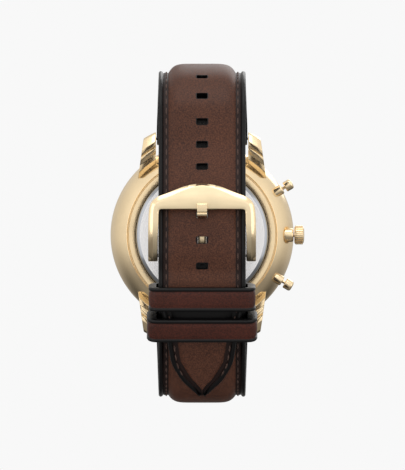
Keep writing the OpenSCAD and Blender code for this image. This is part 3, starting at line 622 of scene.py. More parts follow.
def sweep(path, half_at, pad_at, outline, stations, shaded_runs=(-9, -8)):
    """A closed solid along a path, with how far each point is from the edge.

    Over the runs in the last argument the whole width counts as edge, so it
    turns black: painted shade where the long half lies between the keepers.
    """
    points, edges, faces = [], [], []
    runs = [path.length * i / (stations - 1) for i in range(stations)]
    for s in runs:
        (y, z), (ny, nz) = path.at(s)
        w = mean_near(half_at, s, 0.6) if 3 < s < path.length - 3 else half_at(s)
        pad = mean_near(pad_at, s, 1.5) if s > 4 else pad_at(s)
        slope = (half_at(s + 0.5) - half_at(s - 0.5)) if 1 < s < path.length - 0.5 else 0.0
        half = outline(w, pad, math.hypot(1.0, slope))
        ring = half + [(-x, h, e) for x, h, e in reversed(half[:-1])]
        points += [(x, y + ny * h, z + nz * h) for x, h, e in ring]
        # Inside these runs the edge distance is zero, which paints the shade there black.
        edges += [0.0 if shaded_runs[0] < s < shaded_runs[1] else e for x, h, e in ring]
    count = len(points) // stations
    for i in range(stations - 1):
        for j in range(count):
            a, b = i * count + j, i * count + (j + 1) % count
            faces.append((a, b, b + count, a + count))
    faces.append(tuple(range(count)))
    faces.append(tuple((stations - 1) * count + j for j in range(count)))
    mesh = bpy.data.meshes.new("strap")
    mesh.from_pydata(points, [], faces)
    stored = mesh.attributes.new("edge_mm", "FLOAT", "POINT")
    stored.data.foreach_set("value", edges)
    work = bmesh.new()
    work.from_mesh(mesh)
    bmesh.ops.recalc_face_normals(work, faces=work.faces)
    work.to_mesh(mesh)
    work.free()
    return mesh


# %% Holes
HOLE_PITCH, HOLE_W, HOLE_H = 5.5, 2.5, 1.6
TONGUE_HOLE_Z = 4.3
tongue_run = next(s / 10 for s in range(500, int(LONG * 10))
                  if long_path.at(s / 10)[0][0] < -15
                  and long_path.at(s / 10)[0][1] <= TONGUE_HOLE_Z)
hole_runs = [tongue_run + HOLE_PITCH * i for i in range(-6, 3)]


def slot_cutter(path, s, size=(HOLE_W, HOLE_H), depth=(-1.5, 4.5), corner=0.2):
    """A rectangular prism with eased corners, standing through the strap at run s."""
    (y, z), (ny, nz) = path.at(s)
    along = (-nz, ny)
    a, b = size[0] / 2, size[1] / 2
    outline = [(a, corner - b), (a, b - corner), (a - corner, b), (corner - a, b)]
    outline += [(-x, -v) for x, v in outline]
    points = [(x, y + ny * d + along[0] * v, z + nz * d + along[1] * v)
              for d in depth for x, v in outline]
    n = len(outline)
    faces = [tuple(range(n)), tuple(range(2 * n - 1, n - 1, -1))]
    faces += [(i, (i + 1) % n, (i + 1) % n + n, i + n) for i in range(n)]
    return mesh_from(points, faces, "slot")


def cut(mesh, cutters):
    """The mesh with the cutters' shapes taken out of it."""
    body = bpy.data.objects.new("body", mesh)
    tool = bpy.data.objects.new("tool", joined(cutters))
    for o in (body, tool):
        bpy.context.scene.collection.objects.link(o)
    boolean = body.modifiers.new("cut", "BOOLEAN")
    boolean.object, boolean.operation, boolean.solver = tool, "DIFFERENCE", "EXACT"
    bpy.context.view_layer.update()
    result = bpy.data.meshes.new_from_object(
        body.evaluated_get(bpy.context.evaluated_depsgraph_get()))
    for o in (body, tool):
        bpy.data.objects.remove(o)
    return result


# %% Both strap halves
def bar_eye(at, radius, half):
    """The rounded end of a strap half, round its spring bar."""
    turn = Matrix.Translation((0, at[0], at[1])) @ Matrix.Rotation(math.radians(90), 4, "Y")
    ring = lathe([(0.82, -half), (radius, -half), (radius, half), (0.82, half)], 48, 0.25)
    ring.transform(turn)
    stored = ring.attributes.new("edge_mm", "FLOAT", "POINT")
    stored.data.foreach_set("value", [half - abs(v.co.x) for v in ring.vertices])
    return ring


six_bar, twelve_bar = (BAR_Y, BAR_REACH), (BAR_Y, -BAR_REACH)
slots = [slot_cutter(long_path, s) for s in hole_runs]
# The long half is painted black for 2.2 mm either side of the gap between the keepers: painted
# shade in that gap.
between_keepers = Vector(short_path.at(SHORT - 9.05)[0])
keeper_gap_shade_run = min((k / 5 for k in range(int(LONG * 5))),
             key=lambda s: (Vector(long_path.at(s)[0]) - between_keepers).length)
upper_long = cut(sweep(long_path, long_half, long_pad, upper_outline, 260,
                       (keeper_gap_shade_run - 2.2, keeper_gap_shade_run + 2.2)), slots)
# The CAD lining has holes of full size. Here an unused one is only a slit, so
# that the hole in the upper looks dark.
lining_sizes = {6: (HOLE_W, HOLE_H), 7: (2.1, 1.6)}
lining_slots = [slot_cutter(long_path, s, lining_sizes.get(i, (0.9, 0.2)), corner=0.05)
                for i, s in enumerate(hole_runs)]
lining_long = cut(sweep(long_path, long_half, long_pad, lining_outline, 200), lining_slots)
upper_short = sweep(short_path, short_half, short_pad, upper_outline, 170)
lining_short = sweep(short_path, short_half, short_pad, lining_outline, 130)

long_upper = add_piece("long_strap_padded_upper",
                       joined([upper_long, bar_eye(six_bar, 1.68, 10.8)]), strap_leather,
                       "watch", ["long_strap_upper"], crisp=50)
short_upper = add_piece("short_strap_padded_upper",
                        joined([upper_short, bar_eye(twelve_bar, 1.68, 10.8)]),
                        strap_leather, "watch", ["short_strap_upper"], crisp=50)
add_piece("long_strap_skin_lining", lining_long, lining_leather, "watch",
          ["long_strap_lining"], crisp=50)
buckle_loops = []
for side in (-1, 1):
    turn = [(BUCKLE_BAR[0] + 1.48 * math.cos(a), BUCKLE_BAR[1] + 1.48 * math.sin(a))
            for a in (math.pi * k / 16 for k in range(17))]
    outline = [(-24.85, -7.93), (-22.62, -7.93)] + turn
    loop = slab(outline, 1.9, 9.55, 0.2, lambda t, a, b: (side * (1.9 + 7.65 * t), a, b))
    stored = loop.attributes.new("edge_mm", "FLOAT", "POINT")
    stored.data.foreach_set("value", [9.8 - abs(v.co.x) for v in loop.vertices])
    buckle_loops.append(loop)
# A strip between the loops, which the CAD doesn't have, backs the lowest hole.
bridge = slab([(-24.8, -7.93), (-22.7, -7.93), (-22.9, -6.15), (-24.6, -6.15)], -2.0, 2.0, 0.15,
              lambda t, a, b: (4 * (t - 0.5), a, b))
bridge.attributes.new("edge_mm", "FLOAT", "POINT").data.foreach_set(
    "value", [3.0] * len(bridge.vertices))
buckle_loops.append(bridge)
add_piece("short_strap_skin_lining", joined([lining_short] + buckle_loops), lining_leather,
          "watch", ["short_strap_lining"], crisp=50)
for piece in (long_upper, short_upper):
    print(piece.name, len(piece.data.polygons), "faces")

# %% [markdown]
# ## Geometry Nodes for what repeats
# Stitches, crown ribs and minute marks all repeat one small shape by a rule.
# A small wrapper builds a tree with named inputs, and `grown` runs it once
# and keeps the plain mesh, so no modifier is left on the piece.

# %% Node tree helper
class Grower:
    """A Geometry Nodes tree under construction."""

    def __init__(self, name, inputs):
        self.tree = bpy.data.node_groups.new(name, "GeometryNodeTree")
        face = self.tree.interface
        face.new_socket("Geometry", in_out="INPUT", socket_type="NodeSocketGeometry")
        self.ids = {}
        for label, kind in inputs.items():
            made = face.new_socket(label, in_out="INPUT", socket_type="NodeSocket" + kind)
            self.ids[label] = made.identifier
        face.new_socket("Geometry", in_out="OUTPUT", socket_type="NodeSocketGeometry")
        self.start = self.tree.nodes.new("NodeGroupInput")
        self.end = self.tree.nodes.new("NodeGroupOutput")

    def __getitem__(self, label):
        return Value(self.tree, self.start.outputs[label])

    def node(self, kind, settings=None, out=0, **inputs):
        made = self.tree.nodes.new(kind)
        for key, value in (settings or {}).items():
            setattr(made, key, value)
        for key, value in inputs.items():
            name = int(key[1:]) if key[0] == "i" and key[1:].isdigit() else key.replace("_", " ")
            plug(self.tree, made.inputs[name], value)
        return Value(self.tree, made.outputs[out])

    def finish(self, geometry):
        real = self.node("GeometryNodeRealizeInstances", Geometry=geometry)
        painted = self.node("GeometryNodeSetMaterial", Geometry=real, Material=self["Material"])
        plug(self.tree, self.end.inputs[0], painted)
        return self


def grown(grower, source, **sizes):
    """Runs a tree on a mesh and returns the plain mesh that it makes."""
    holder = bpy.data.objects.new("holder", source)
    bpy.context.scene.collection.objects.link(holder)
    modifier = holder.modifiers.new("grow", "NODES")
    modifier.node_group = grower.tree
    for label, value in sizes.items():
        modifier[grower.ids[label]] = value
    bpy.context.view_layer.update()
    result = bpy.data.meshes.new_from_object(
        holder.evaluated_get(bpy.context.evaluated_depsgraph_get()))
    holder.modifiers.remove(modifier)
    bpy.data.objects.remove(holder)
    return result


# %% Stitch tree
def stitch_tree():
    """Puts a lens-shaped stitch at even steps along each line of the source mesh."""
    g = Grower("stitch_row", {"Pitch": "Float", "Length": "Float", "Width": "Float",
                              "Material": "Material"})
    line = g.node("GeometryNodeMeshToCurve", Mesh=g["Geometry"])
    even = g.node("GeometryNodeResampleCurve", {"mode": "LENGTH"}, Curve=line, Length=g["Pitch"])
    tangent = g.node("GeometryNodeInputTangent")
    turn = g.node("FunctionNodeAlignRotationToVector", {"axis": "X"}, Vector=tangent)
    ball = g.node("GeometryNodeMeshUVSphere", Segments=10, Rings=8, Radius=0.5)
    size = g.node("ShaderNodeCombineXYZ", X=g["Length"], Y=g["Width"], Z=g["Width"])
    rows = g.node("GeometryNodeInstanceOnPoints", Points=even, Instance=ball, Rotation=turn,
                  Scale=size)
    return g.finish(rows)


stitches = stitch_tree()


def stitch_line(path, half_at, runs, inset, height):
    """Edges along both sides of a strap half, where the thread runs."""
    points, edges = [], []
    for side in (-1, 1):
        first = len(points)
        for s in runs:
            (y, z), (ny, nz) = path.at(s)
            w = half_at(s)
            points.append((side * (w - inset * min(1, w / 10)), y + ny * height, z + nz * height))
        edges += [(i, i + 1) for i in range(first, len(points) - 1)]
    mesh = bpy.data.meshes.new("line")
    mesh.from_pydata(points, edges, [])
    return mesh


# %% Sew the strap
for label, path, half_at, first, last in (
        ("long", long_path, long_half, 4.0, LONG - 2.0),
        ("short", short_path, short_half, 4.0, SHORT - 1.2)):
    runs = [first + (last - first) * i / 150 for i in range(151)]
    source = stitch_line(path, half_at, runs, 1.8, EDGE_T - 0.36)
    sewn = grown(stitches, source, Pitch=2.45, Length=1.75, Width=0.42, Material=thread)
    piece = add_piece(f"{label}_strap_stitches", sewn, None, "watch", crisp=60)
    print(piece.name, len(sewn.polygons), "faces")

# %% [markdown]
# ## Keepers
# Each keeper is a strip of leather folded round both strap halves and sewn
# into a ring. The strip has the same painted beads on its two edges. A
# rounded rectangle is the path and the strip's own section is swept round it.

# %% Keeper bands
KEEPER_L, KEEPER_GAP = 5.5, 21


def ring_outline(w, h, r, steps=8):
    """A rounded rectangle as points with outward directions."""
    result = []
    for cx, cy, start in ((1, 1, 0), (-1, 1, 90), (-1, -1, 180), (1, -1, 270)):
        for k in range(steps + 1):
            a = math.radians(start + 90 * k / steps)
            d = (math.cos(a), math.sin(a))
            result.append(((cx * (w / 2 - r) + r * d[0], cy * (h / 2 - r) + r * d[1]), d))
    return result


def keeper_band(name, s, outer_w, body, node):
    (y, z), (ny, nz) = short_path.at(s)
    along = (-nz, ny)
    inner_h = EDGE_T + short_pad(s) + OVERLAP_GAP + EDGE_T + 0.8
    middle = inner_h / 2 - 0.25
    outer = ring_outline(outer_w, inner_h + 2.6, 2.2)
    inner = ring_outline(KEEPER_GAP, inner_h, 0.5)
    half = KEEPER_L / 2
    # [along, share of the wall's thickness from outside to inside]
    strip = [(-half, 1.0), (-half, 0.3), (-half + 0.12, 0.08), (-half + 0.4, 0),
             (-half + 0.7, 0.05), (-half + 0.85, 0.18), (-half + 1.0, 0.19),
             (-half + 1.3, 0.08), (-half + 1.8, 0.05), (0, 0.02)]
    strip += [(-v, d) for v, d in reversed(strip[:-1])]
    points, edge = [], []
    for ((x, n), a), ((ix, inn), b) in zip(outer, inner):
        for v, d in strip:
            h = n + d * (inn - n) + middle
            points.append((x + d * (ix - x), y + ny * h + along[0] * v,
                           z + nz * h + along[1] * v))
            edge.append(half - abs(v) if d < 0.9 else 0.2)
    count, rings = len(strip), len(outer)
    faces = [(i * count + j, i * count + (j + 1) % count,
              (i + 1) % rings * count + (j + 1) % count, (i + 1) % rings * count + j)
             for i in range(rings) for j in range(count)]
    mesh = bpy.data.meshes.new(name)
    mesh.from_pydata(points, [], faces)
    stored = mesh.attributes.new("edge_mm", "FLOAT", "POINT")
    stored.data.foreach_set("value", edge)
    tidy(mesh)
    return add_piece(name, mesh, keeper_leather, body, [node], crisp=50)


keeper_band("fixed_keeper_band", SHORT - 5.9, 24.6, "watch", "fixed_keeper")
keeper_band("free_keeper_band", SHORT - 12.2, 25.4, "free_keeper", "free_keeper")
print("keepers at", round(SHORT - 5.9, 1), "and", round(SHORT - 12.2, 1), "mm along the short half")

# %% [markdown]
# ## Buckle frame
# The frame is one bent plate: a wide crest over the strap and two arms that
# curl in to the bar. It is laid out flat, as it would be cut from sheet, with
# an inner and an outer outline. Each flat point is then wrapped on to the
# side curve of the plate. A polished bevel runs round the outer outline.

# %% Wrapped plate
bend = Path(spline([(-28.35, 12.3), (-28.9, 11.45), (-29.35, 9.6), (-29.5, 7.4), (-29.5, 4.6),
                    (-29.4, 1.8), (-28.9, -0.9), (-27.7, -3.4), (-26.2, -5.2), (-24.6, -6.0)],
                   10), 1)


def wrapped(x, u, depth):
    """A point of the flat plate, u down from its crest, at a depth below its face."""
    (y, z), (ny, nz) = bend.at(u)
    return (x, y + ny * depth, z + nz * depth)


def crest_outline():
    """Outer outline of half the frame from the middle of its crest, as [x, u]."""
    line = spline([(0, 0.05), (1.7, 0.3), (4.1, 1.1), (6.5, 2.2), (8.5, 3.05), (9.9, 3.6),
                   (11.0, 4.3), (11.8, 5.3), (12.15, 6.7), (12.3, 9.0), (12.35, 13),
                   (12.35, bend.length)], 6)
    for _ in range(8):
        line = ([(0, (line[0][1] + line[1][1]) / 2)]
                + [((a[0] + 2 * b[0] + c[0]) / 4, (a[1] + 2 * b[1] + c[1]) / 4)
                   for a, b, c in zip(line, line[1:], line[2:])] + line[-1:])
    return line


def opening_outline():
    return spline([(0, 6.68), (2, 6.68), (4, 6.68), (6, 6.68), (8, 6.68), (9.2, 6.69),
                   (9.62, 6.8), (9.86, 7.1), (9.93, 7.8), (9.96, 9.7), (10.12, 12.5),
                   (10.15, bend.length)], 6)


print("plate length from crest to arm end:", round(bend.length, 2))


# %% Frame mesh
def frame_mesh(thick=1.4, bevel=1.15):
    outer, inner = crest_outline(), opening_outline()
    stations = [(o, i) for o, i in zip(outer, inner)]
    stations = [((-o[0], o[1]), (-i[0], i[1])) for o, i in reversed(stations[1:])] + stations
    # across the plate: [share from inner to outer, mm from the outer edge, depth]
    section = [(0.0, 0, thick), (0.0, 0, 0.25), (0.03, 0, 0.06), (0.09, 0, 0.0), (0.3, 0, 0.0),
               (0.45, 0, 0.0), (None, bevel + 0.05, 0.0), (None, bevel - 0.1, 0.04),
               (None, 0.14, 0.52), (None, 0.02, 0.62), (None, 0.0, 0.75), (None, 0.0, thick)]
    points, faces = [], []
    for (ox, ou), (ix, iu) in stations:
        length = math.dist((ox, ou), (ix, iu))
        for share, back, depth in section:
            f = share if share is not None else 1 - back / length
            points.append(wrapped(ix + (ox - ix) * f, iu + (ou - iu) * f, depth))
    count = len(section)
    for s in range(len(stations) - 1):
        for j in range(count):
            a, b = s * count + j, s * count + (j + 1) % count
            faces.append((a, b, b + count, a + count))
    faces.append(tuple(range(count)))
    faces.append(tuple((len(stations) - 1) * count + j for j in range(count)))
    return mesh_from(points, faces, "frame")


def arm_eyes():
    """The round ends of the arms, which hold the spring bar."""
    made = []
    for side in (-1, 1):
        eye = lathe([(0.52, 10.22), (1.45, 10.22), (1.45, 12.38), (0.52, 12.38)], 48, 0.3)
        eye.transform(Matrix.Translation((0, *BUCKLE_BAR))
                      @ Matrix.Rotation(math.radians(90 * side), 4, "Y"))
        made.append(eye)
    return made


plate = add_piece("buckle_plate", frame_mesh(), gold_satin, "buckle_frame",
                  ["buckle_frame"], crisp=24)
add_piece("buckle_arm_eyes", joined(arm_eyes()), gold, "buckle_frame")

# %% [markdown]
# ## Polished bevel
# One plate carries two finishes. Faces on the bevel and on the plate's edge
# get the polished gold, and the wide front stays brushed. The bevel's faces
# are the ones whose normal leans well away from the front.

# %% Two finishes on one plate
plate.data.materials.append(gold)
for face in plate.data.polygons:
    flat = abs(face.normal.x) < 0.25 and face.normal.y < -0.2
    u_like = face.center.z / MM
    straight = face.normal.y < -0.93 or (abs(face.normal.x) < 0.08 and u_like < 0.5 and flat)
    face.material_index = 0 if straight else 1
print("polished faces:", sum(f.material_index for f in plate.data.polygons))

# %% [markdown]
# ## Tongue
# The tongue is cut from thick strip: a ring on the buckle bar, a shank behind
# the strap, a bend out through the hole and a square pad that lies on the
# frame. It is one side outline given thickness, with all its rims eased.

# %% Tongue mesh
TONGUE_SIDE = [(23.4, -4.6), (23.8, 2.6), (24.25, 4.05), (25.2, 4.6), (28.9, 4.84), (29.5, 5.2),
               (29.58, 7.22), (30.3, 7.22), (30.48, 7.0), (30.48, 5.28), (30.28, 5.12),
               (30.28, 4.98), (30.44, 4.86), (30.32, 4.4), (29.6, 4.07), (25.6, 3.82),
               (24.95, 3.4), (24.7, 2.6), (24.72, -4.6)]


def tongue_mesh(width=2.3):
    def place(t, a, b):
        return ((t - 0.5) * (width - 0.6 * min(1, max(0, (4.2 - b) / 2.4))), -a, b)
    bar = slab(eased(TONGUE_SIDE, 0.16, 2), 0, width, 0.1, place)
    ring = lathe([(0.82, -width / 2), (1.22, -width / 2), (1.22, width / 2), (0.82, width / 2)],
                 48, 0.15)
    ring.transform(Matrix.Translation((0, *BUCKLE_BAR))
                   @ Matrix.Rotation(math.radians(90), 4, "Y"))
    return joined([bar, ring])


add_piece("buckle_pin_tongue", tongue_mesh(), gold_tongue, "buckle_tongue",
          ["buckle_tongue"], crisp=40)

# %% [markdown]
# ## Case
# The case middle is a bowl turned from one blank, with four lugs. The bowl's
# flank is a smooth curve through a few points. The lugs' steps are turned on
# the same lathe, so each step is an arc round the dial's centre: the lug's
# outline is given in [radius, height] and spread across the lug's width.

# %% Case middle
flank = spline([(18.0, 1.0), (19.5, 2.1), (20.7, 3.7), (21.6, 5.8), (22.0, 7.4)], 6)
case_profile = ([(15.95, 0.75), (17.5, 0.75), (17.62, 1.35), (17.88, 1.35)] + flank
                + [(18.7, 7.4), (18.7, 6.2), (15.95, 6.2), (15.95, 2.6), (15.2, 2.6),
                   (15.2, 2.25), (15.95, 2.25)])
LUG_PROFILE = [(19.0, 7.3), (19.0, 3.9), (20.5, 3.1), (21.25, 1.95), (22.35, 1.85), (23.05, 1.15),
               (23.55, 1.1), (23.7, 1.25), (23.85, 1.0), (24.1, 0.75), (24.9, 0.6), (26.6, 1.8),
               (27.05, 2.8), (26.75, 4.2), (25.4, 5.8), (23, 7)]


def lug_mesh(sx, sy):
    """One lug, from 11.05 mm beside the middle to its slanted outer side."""
    def place(t, r, h):
        x = 11.05
        for _ in range(4):
            y = math.sqrt(r * r - x * x)
            x = 11.05 + t * (2.65 + (25.2 - y) * math.tan(math.radians(8)))
        return (sx * x, sy * math.sqrt(r * r - x * x), h)
    return slab(eased(LUG_PROFILE, 0.12, 2), 0, 2.9, 0.14, place)


lugs = [lug_mesh(sx, sy) for sx in (-1, 1) for sy in (-1, 1)]
add_piece("case_bowl_and_lugs", joined([lathe(case_profile, 192, 0.1)] + lugs), gold, "watch",
          ["mid_case"], HEAD, crisp=28)
add_piece("bezel_ring", lathe([(18.7, 7.4), (22, 7.4), (22, 7.9), (21.7, 8.7), (21, 9.3),
                               (20.2, 9.5), (19.5, 9.4), (19.2, 9.1), (19.2, 8.1), (18.7, 8.1)],
                              192, 0.2), gold, "watch", ["bezel"], HEAD)
add_piece("back_cover", lathe([(0, 0), (14.9, 0), (15.6, 0.35), (15.85, 0.8), (15.85, 1.9),
                               (14.6, 1.9), (14.6, 1), (0, 1)], 192, 0.06), case_back_steel,
          "watch", ["case_back"], HEAD, crisp=20)
add_piece("domed_crystal", lathe([(0, 8.15), (18.9, 8.15), (18.9, 9.5), (18.3, 9.85), (14, 10.2),
                                  (8, 10.4), (0, 10.5)], 160, 0.25), glass, "watch",
          ["crystal"], HEAD)
print("case pieces made")

# %% [markdown]
# ## Crown and pushers
# These lie on lines that leave the case at three, two and four o'clock. Each
# is turned standing up, then laid along its line. The crown's grip is a ring
# of rounded ribs, grown by a node tree.

# %% Ring tree
def ring_tree():
    """Repeats a rounded bar round a circle, standing along z."""
    g = Grower("bars_in_a_ring", {"Count": "Int", "Radius": "Float", "Size": "Vector",
                                  "Start": "Float", "Material": "Material"})
    circle = g.node("GeometryNodeMeshCircle", Vertices=g["Count"], Radius=g["Radius"])
    place = g.node("GeometryNodeInputPosition")
    turn = g.node("FunctionNodeAlignRotationToVector", {"axis": "X"}, Vector=place)
    bar = g.node("GeometryNodeMeshCube", Size=g["Size"], Vertices_X=2, Vertices_Y=2, Vertices_Z=2)
    made = g.node("GeometryNodeInstanceOnPoints", Points=circle, Instance=bar, Rotation=turn)
    spun = g.node("GeometryNodeTransform", Geometry=made,
                  Rotation=g.node("ShaderNodeCombineXYZ", Z=g["Start"]))
    return g.finish(spun)


rings = ring_tree()


def ring_of_bars(count, radius, size, material, start=0.0, bevel=0.0):
    source = bpy.data.meshes.new("empty")
    made = grown(rings, source, Count=count, Radius=radius, Size=size, Start=start,
                 Material=material)
    if bevel:
        work = bmesh.new()
        work.from_mesh(made)
        bmesh.ops.bevel(work, geom=work.edges[:], offset=bevel, segments=2, profile=0.6,
                        affect="EDGES")
        work.to_mesh(made)
        work.free()
    return made


# %% Side pieces
CROWN_Z = 3.9


def side_line(angle):
    """Where a shape turned round z goes when it leaves the case at this angle."""
    return (HEAD @ Matrix.Rotation(math.radians(angle), 4, "Z")
            @ Matrix.Translation((0, 0, CROWN_Z)) @ Matrix.Rotation(math.radians(90), 4, "Y"))


ribs = ring_of_bars(26, 2.13, (0.3, 0.34, 1.75), gold, bevel=0.08)
ribs.transform(Matrix.Translation((0, 0, 23.25)))
crown_core = lathe([(0, 22.1), (1.85, 22.1), (2.12, 22.3), (2.12, 24.1), (1.9, 24.3),
                    (1.3, 24.46), (0, 24.5)], 96, 0.12)
add_piece("crown_knob", joined([crown_core, ribs]), gold, "crown", ["crown"],
          side_line(0))
add_piece("crown_collar", lathe([(0.55, 16.2), (1, 16.2), (1, 19.4), (1.65, 19.4), (1.65, 21.5),
                                 (1.45, 21.9), (0.55, 21.9)], 64, 0.15), gold, "watch",
          ["crown_tube"], side_line(0))
for label, angle in (("start", 30), ("reset", -30)):
    add_piece(f"{label}_pusher_cap",
              lathe([(0, 15.3), (0.36, 15.3), (0.36, 22.9), (1.1, 22.9), (1.25, 23.05),
                     (1.25, 24.45), (1.1, 24.75), (0.7, 24.9), (0, 24.9)], 64, 0.1), gold,
              f"{label}_pusher", [f"{label}_pusher"], side_line(angle))
    add_piece(f"{label}_pusher_collar",
              lathe([(0.4, 16.2), (0.8, 16.2), (0.8, 19.7), (1.2, 19.7), (1.2, 21.95),
                     (1.05, 22.2), (0.4, 22.2)], 64, 0.1), gold, "watch",
              [f"{label}_pusher_tube"], side_line(angle))

# %% [markdown]
# ## Dial side
# The dial has applied markers, printed minute marks and three small dials.
# The marks are grown round circles by the same tree as the crown's ribs. The
# hands are thin plates with a ridge along the middle, which splits the light.

# %% Dial print
SUBDIALS = ((0, -8.2), (-8.2, 0), (8.2, 0))
marks = [ring_of_bars(60, 16.95, (0.5, 0.07, 0.02), ink)]
marks.append(ring_of_bars(12, 16.85, (0.75, 0.16, 0.02), ink))
for x, y in SUBDIALS:
    for count, size in ((60, (0.3, 0.035, 0.02)), (12, (0.5, 0.08, 0.02))):
        small = ring_of_bars(count, 3.75, size, ink)
        small.transform(Matrix.Translation((x, y, -0.1)))
        marks.append(small)
print_mesh = joined(marks)
print_mesh.transform(Matrix.Translation((0, 0, 6.612)))
add_piece("dial_minute_marks", print_mesh, ink, "watch", matrix=HEAD)


# %% Hands
def hand_mesh(length, w0, w1, tail, hub, bore, z0, z1, angle):
    """A tapered hand with a raised middle line and a hub."""
    outline = [(-w0 / 2, -tail), (w0 / 2, -tail), (w0 / 2, 0), (w1 / 2, length - w1),
               (0, length), (-w1 / 2, length - w1), (-w0 / 2, 0)]
    ridge = [(0, -tail + 0.05), (0, length - 0.15)]
    n = len(outline)
    points = [(x, y, z0) for x, y in outline] + [(x, y, z0 + (z1 - z0) * 0.35) for x, y in outline]
    points += [(x, y, z1) for x, y in ridge]
    a, b = 2 * n, 2 * n + 1
    faces = [tuple(range(n))] + [(i, (i + 1) % n, (i + 1) % n + n, i + n) for i in range(n)]
    faces += [(n, n + 1, a), (n + 1, n + 2, a), (n + 2, n + 3, b, a), (n + 3, n + 4, b),
              (n + 4, n + 5, b), (n + 5, n + 6, a, b), (n + 6, n, a)]
    blade = mesh_from(points, faces)
    boss = lathe([(bore, z0), (hub, z0), (hub, z1 - 0.02), (hub - 0.1, z1), (bore, z1)], 48, 0.02)
    mesh = joined([blade, boss])
    mesh.transform(Matrix.Rotation(math.radians(-angle), 4, "Z"))
    return mesh


for name, at, shape, body in (
        ("minute_hand", (0, 0), (15.4, 1.1, 0.5, 2.6, 1.1, 0.6, 7.25, 7.4, 54), "minute_train"),
        ("hour_hand", (0, 0), (9.6, 1.4, 0.7, 2.2, 1.4, 0.94, 6.95, 7.1, 304.5), "hour_train"),
        ("chrono_seconds_hand", (0, 0), (16.4, 0.5, 0.25, 4.6, 0.7, 0.3, 7.55, 7.65, 0),
         "chrono_seconds"),
        ("seconds_hand", (0, -8.2), (3.5, 0.45, 0.25, 1.2, 0.55, 0.27, 6.6, 6.7, 210),
         "seconds_train"),
        ("chrono_minutes_hand", (-8.2, 0), (3.5, 0.45, 0.25, 1.2, 0.55, 0.27, 6.6, 6.7, 0),
         "chrono_minutes")):
    mesh = hand_mesh(*shape)
    mesh.transform(Matrix.Translation((*at, 0)))
    add_piece(f"{name}_blade", mesh, gold, body, [name], HEAD, crisp=10)

# %% [markdown]
# ## Finishes for the CAD nodes that stay
# Markers, small rings, spring bars and the whole movement keep their CAD
# shape, because it is already exact. Each gets the finish of its metal.

# %% Dress the remaining nodes
DRESS = {
    "dial_lacquer": ["dial", "dial_ring"],
    "gold": ["hour_markers", "subdial_rings", "day_hand"],
    "rubber": ["crystal_gasket", "case_back_gasket"],
    "holder": ["movement_holder"],
    "brass": ["main_plate", "cannon_pinion", "minute_wheel", "hour_wheel", "day_idler_wheel",
              "fourth_wheel", "fifth_wheel", "chrono_intermediate_wheel", "chrono_counter_wheel"],
    "steel": ["train_bridge", "stator", "chrono_arbor", "stem", "clutch_wheel", "rotor",
              "battery", "battery_clamp", "spring_bar_six", "spring_bar_twelve",
              "spring_bar_buckle", "bar_pin_six_crown", "bar_pin_six_far",
              "bar_pin_twelve_crown", "bar_pin_twelve_far", "bar_pin_buckle_crown",
              "bar_pin_buckle_far"],
    "screws": ["movement_screws"],
    "board": ["circuit_board"],
    "coil": ["motor_coil"],
}
FINISHES = {"dial_lacquer": dial_lacquer, "gold": gold, "rubber": rubber, "brass": brass,
            "holder": holder_plastic, "steel": steel, "screws": dark_steel,
            "board": board_green, "coil": copper}
for finish, nodes in DRESS.items():
    for name in nodes:
        node = frame["nodes"][name]
        node.data.materials.clear()
        node.data.materials.append(FINISHES[finish])
print("dressed nodes:", sum(len(v) for v in DRESS.values()))

# %% [markdown]
# ## Stage, light and camera
# The watch is held in the air as if by a wrist, over a pale floor. Soft boxes
# above and on both sides light the metal. Polished gold needs something dark
# to reflect as well, so the world darkens towards the floor, and only the
# camera sees it as an even pale room. A long lens from far away keeps the
# case and the buckle nearly the same scale.

# %% Stage
bpy.ops.mesh.primitive_circle_add(vertices=96, radius=1.5, fill_type="NGON", location=(0, 0, -0.3))
floor = bpy.context.object
floor.name = "studio_floor"
floor.data.materials.append(plain("pale_floor", srgb(238, 238, 238), rough=0.8, grain=40))
floor.visible_glossy = False

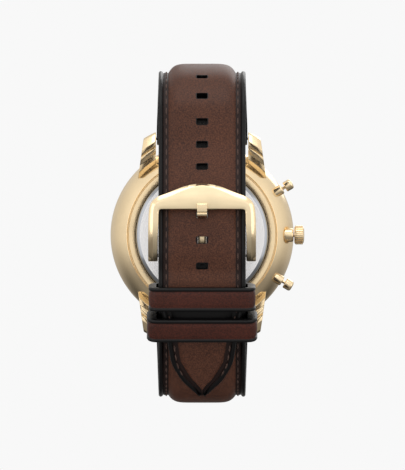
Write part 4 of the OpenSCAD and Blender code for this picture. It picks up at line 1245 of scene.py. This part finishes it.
world = bpy.data.worlds.new("studio")
bpy.context.scene.world = world
world.use_nodes = True
wt = world.node_tree
wt.nodes.clear()
path_node = wt.nodes.new("ShaderNodeLightPath")
seen = wt.nodes.new("ShaderNodeBackground")
seen.inputs[0].default_value = (0.939, 0.939, 0.939, 1)
seen.inputs[1].default_value = 1.0
room = wt.nodes.new("ShaderNodeBackground")
room.inputs[0].default_value = (1.0, 0.985, 0.965, 1)
toward = wt.nodes.new("ShaderNodeTexCoord")
split = wt.nodes.new("ShaderNodeSeparateXYZ")
wt.links.new(toward.outputs["Generated"], split.inputs[0])
up, away = Value(wt, split.outputs["Z"]), Value(wt, split.outputs["Y"])
under = Value(wt, wt.nodes.new("ShaderNodeMapRange").outputs[0])
lower = under.socket.node
lower.interpolation_type = "SMOOTHSTEP"
plug(wt, lower.inputs[0], up)
for slot, value in ((1, -0.6), (2, 0.05), (3, -0.62), (4, 0.0)):
    lower.inputs[slot].default_value = value
plug(wt, room.inputs[1], under + up.math("MAXIMUM", 0.0) * 0.15 + 0.84
     - away.math("MAXIMUM", 0.0) * 0.25 + (away * -1.0).math("MAXIMUM", 0.0) * 0.12)
blend = wt.nodes.new("ShaderNodeMixShader")
out = wt.nodes.new("ShaderNodeOutputWorld")
wt.links.new(path_node.outputs["Is Camera Ray"], blend.inputs[0])
wt.links.new(room.outputs[0], blend.inputs[1])
wt.links.new(seen.outputs[0], blend.inputs[2])
wt.links.new(blend.outputs[0], out.inputs[0])


# %% Lights
def softbox(name, place, size, power, aim=(0, 0, 0)):
    light = bpy.data.lights.new(name, "AREA")
    light.shape, light.size, light.size_y, light.energy = "RECTANGLE", size[0], size[1], power
    lamp = bpy.data.objects.new(name, light)
    lamp.location = place
    lamp.rotation_euler = (Vector(aim) - Vector(place)).to_track_quat("-Z", "Y").to_euler()
    lamp.visible_camera = False
    bpy.context.scene.collection.objects.link(lamp)


softbox("top_box", (0, -0.25, 0.7), (0.7, 0.5), 1.6)
softbox("left_box", (-0.7, -0.6, 0.1), (0.35, 0.8), 0.8)
softbox("right_box", (0.7, -0.6, 0.1), (0.35, 0.8), 0.8)
softbox("front_box", (0, -1.3, 0.5), (0.6, 0.3), 0.4)
softbox("dial_box", (0.3, 0.9, 0.5), (0.7, 0.5), 2.0)

# %% Camera
camera_data = bpy.data.cameras.new("camera")
camera_data.lens, camera_data.sensor_width = 392.5, 36
camera_data.clip_start, camera_data.clip_end = 0.05, 20
camera = bpy.data.objects.new("camera", camera_data)
camera.location = (0.0001, -1.2, 0)
camera.rotation_euler = (math.radians(90), 0, 0)
bpy.context.scene.collection.objects.link(camera)
bpy.context.scene.camera = camera
bpy.context.scene.view_settings.view_transform = "Standard"
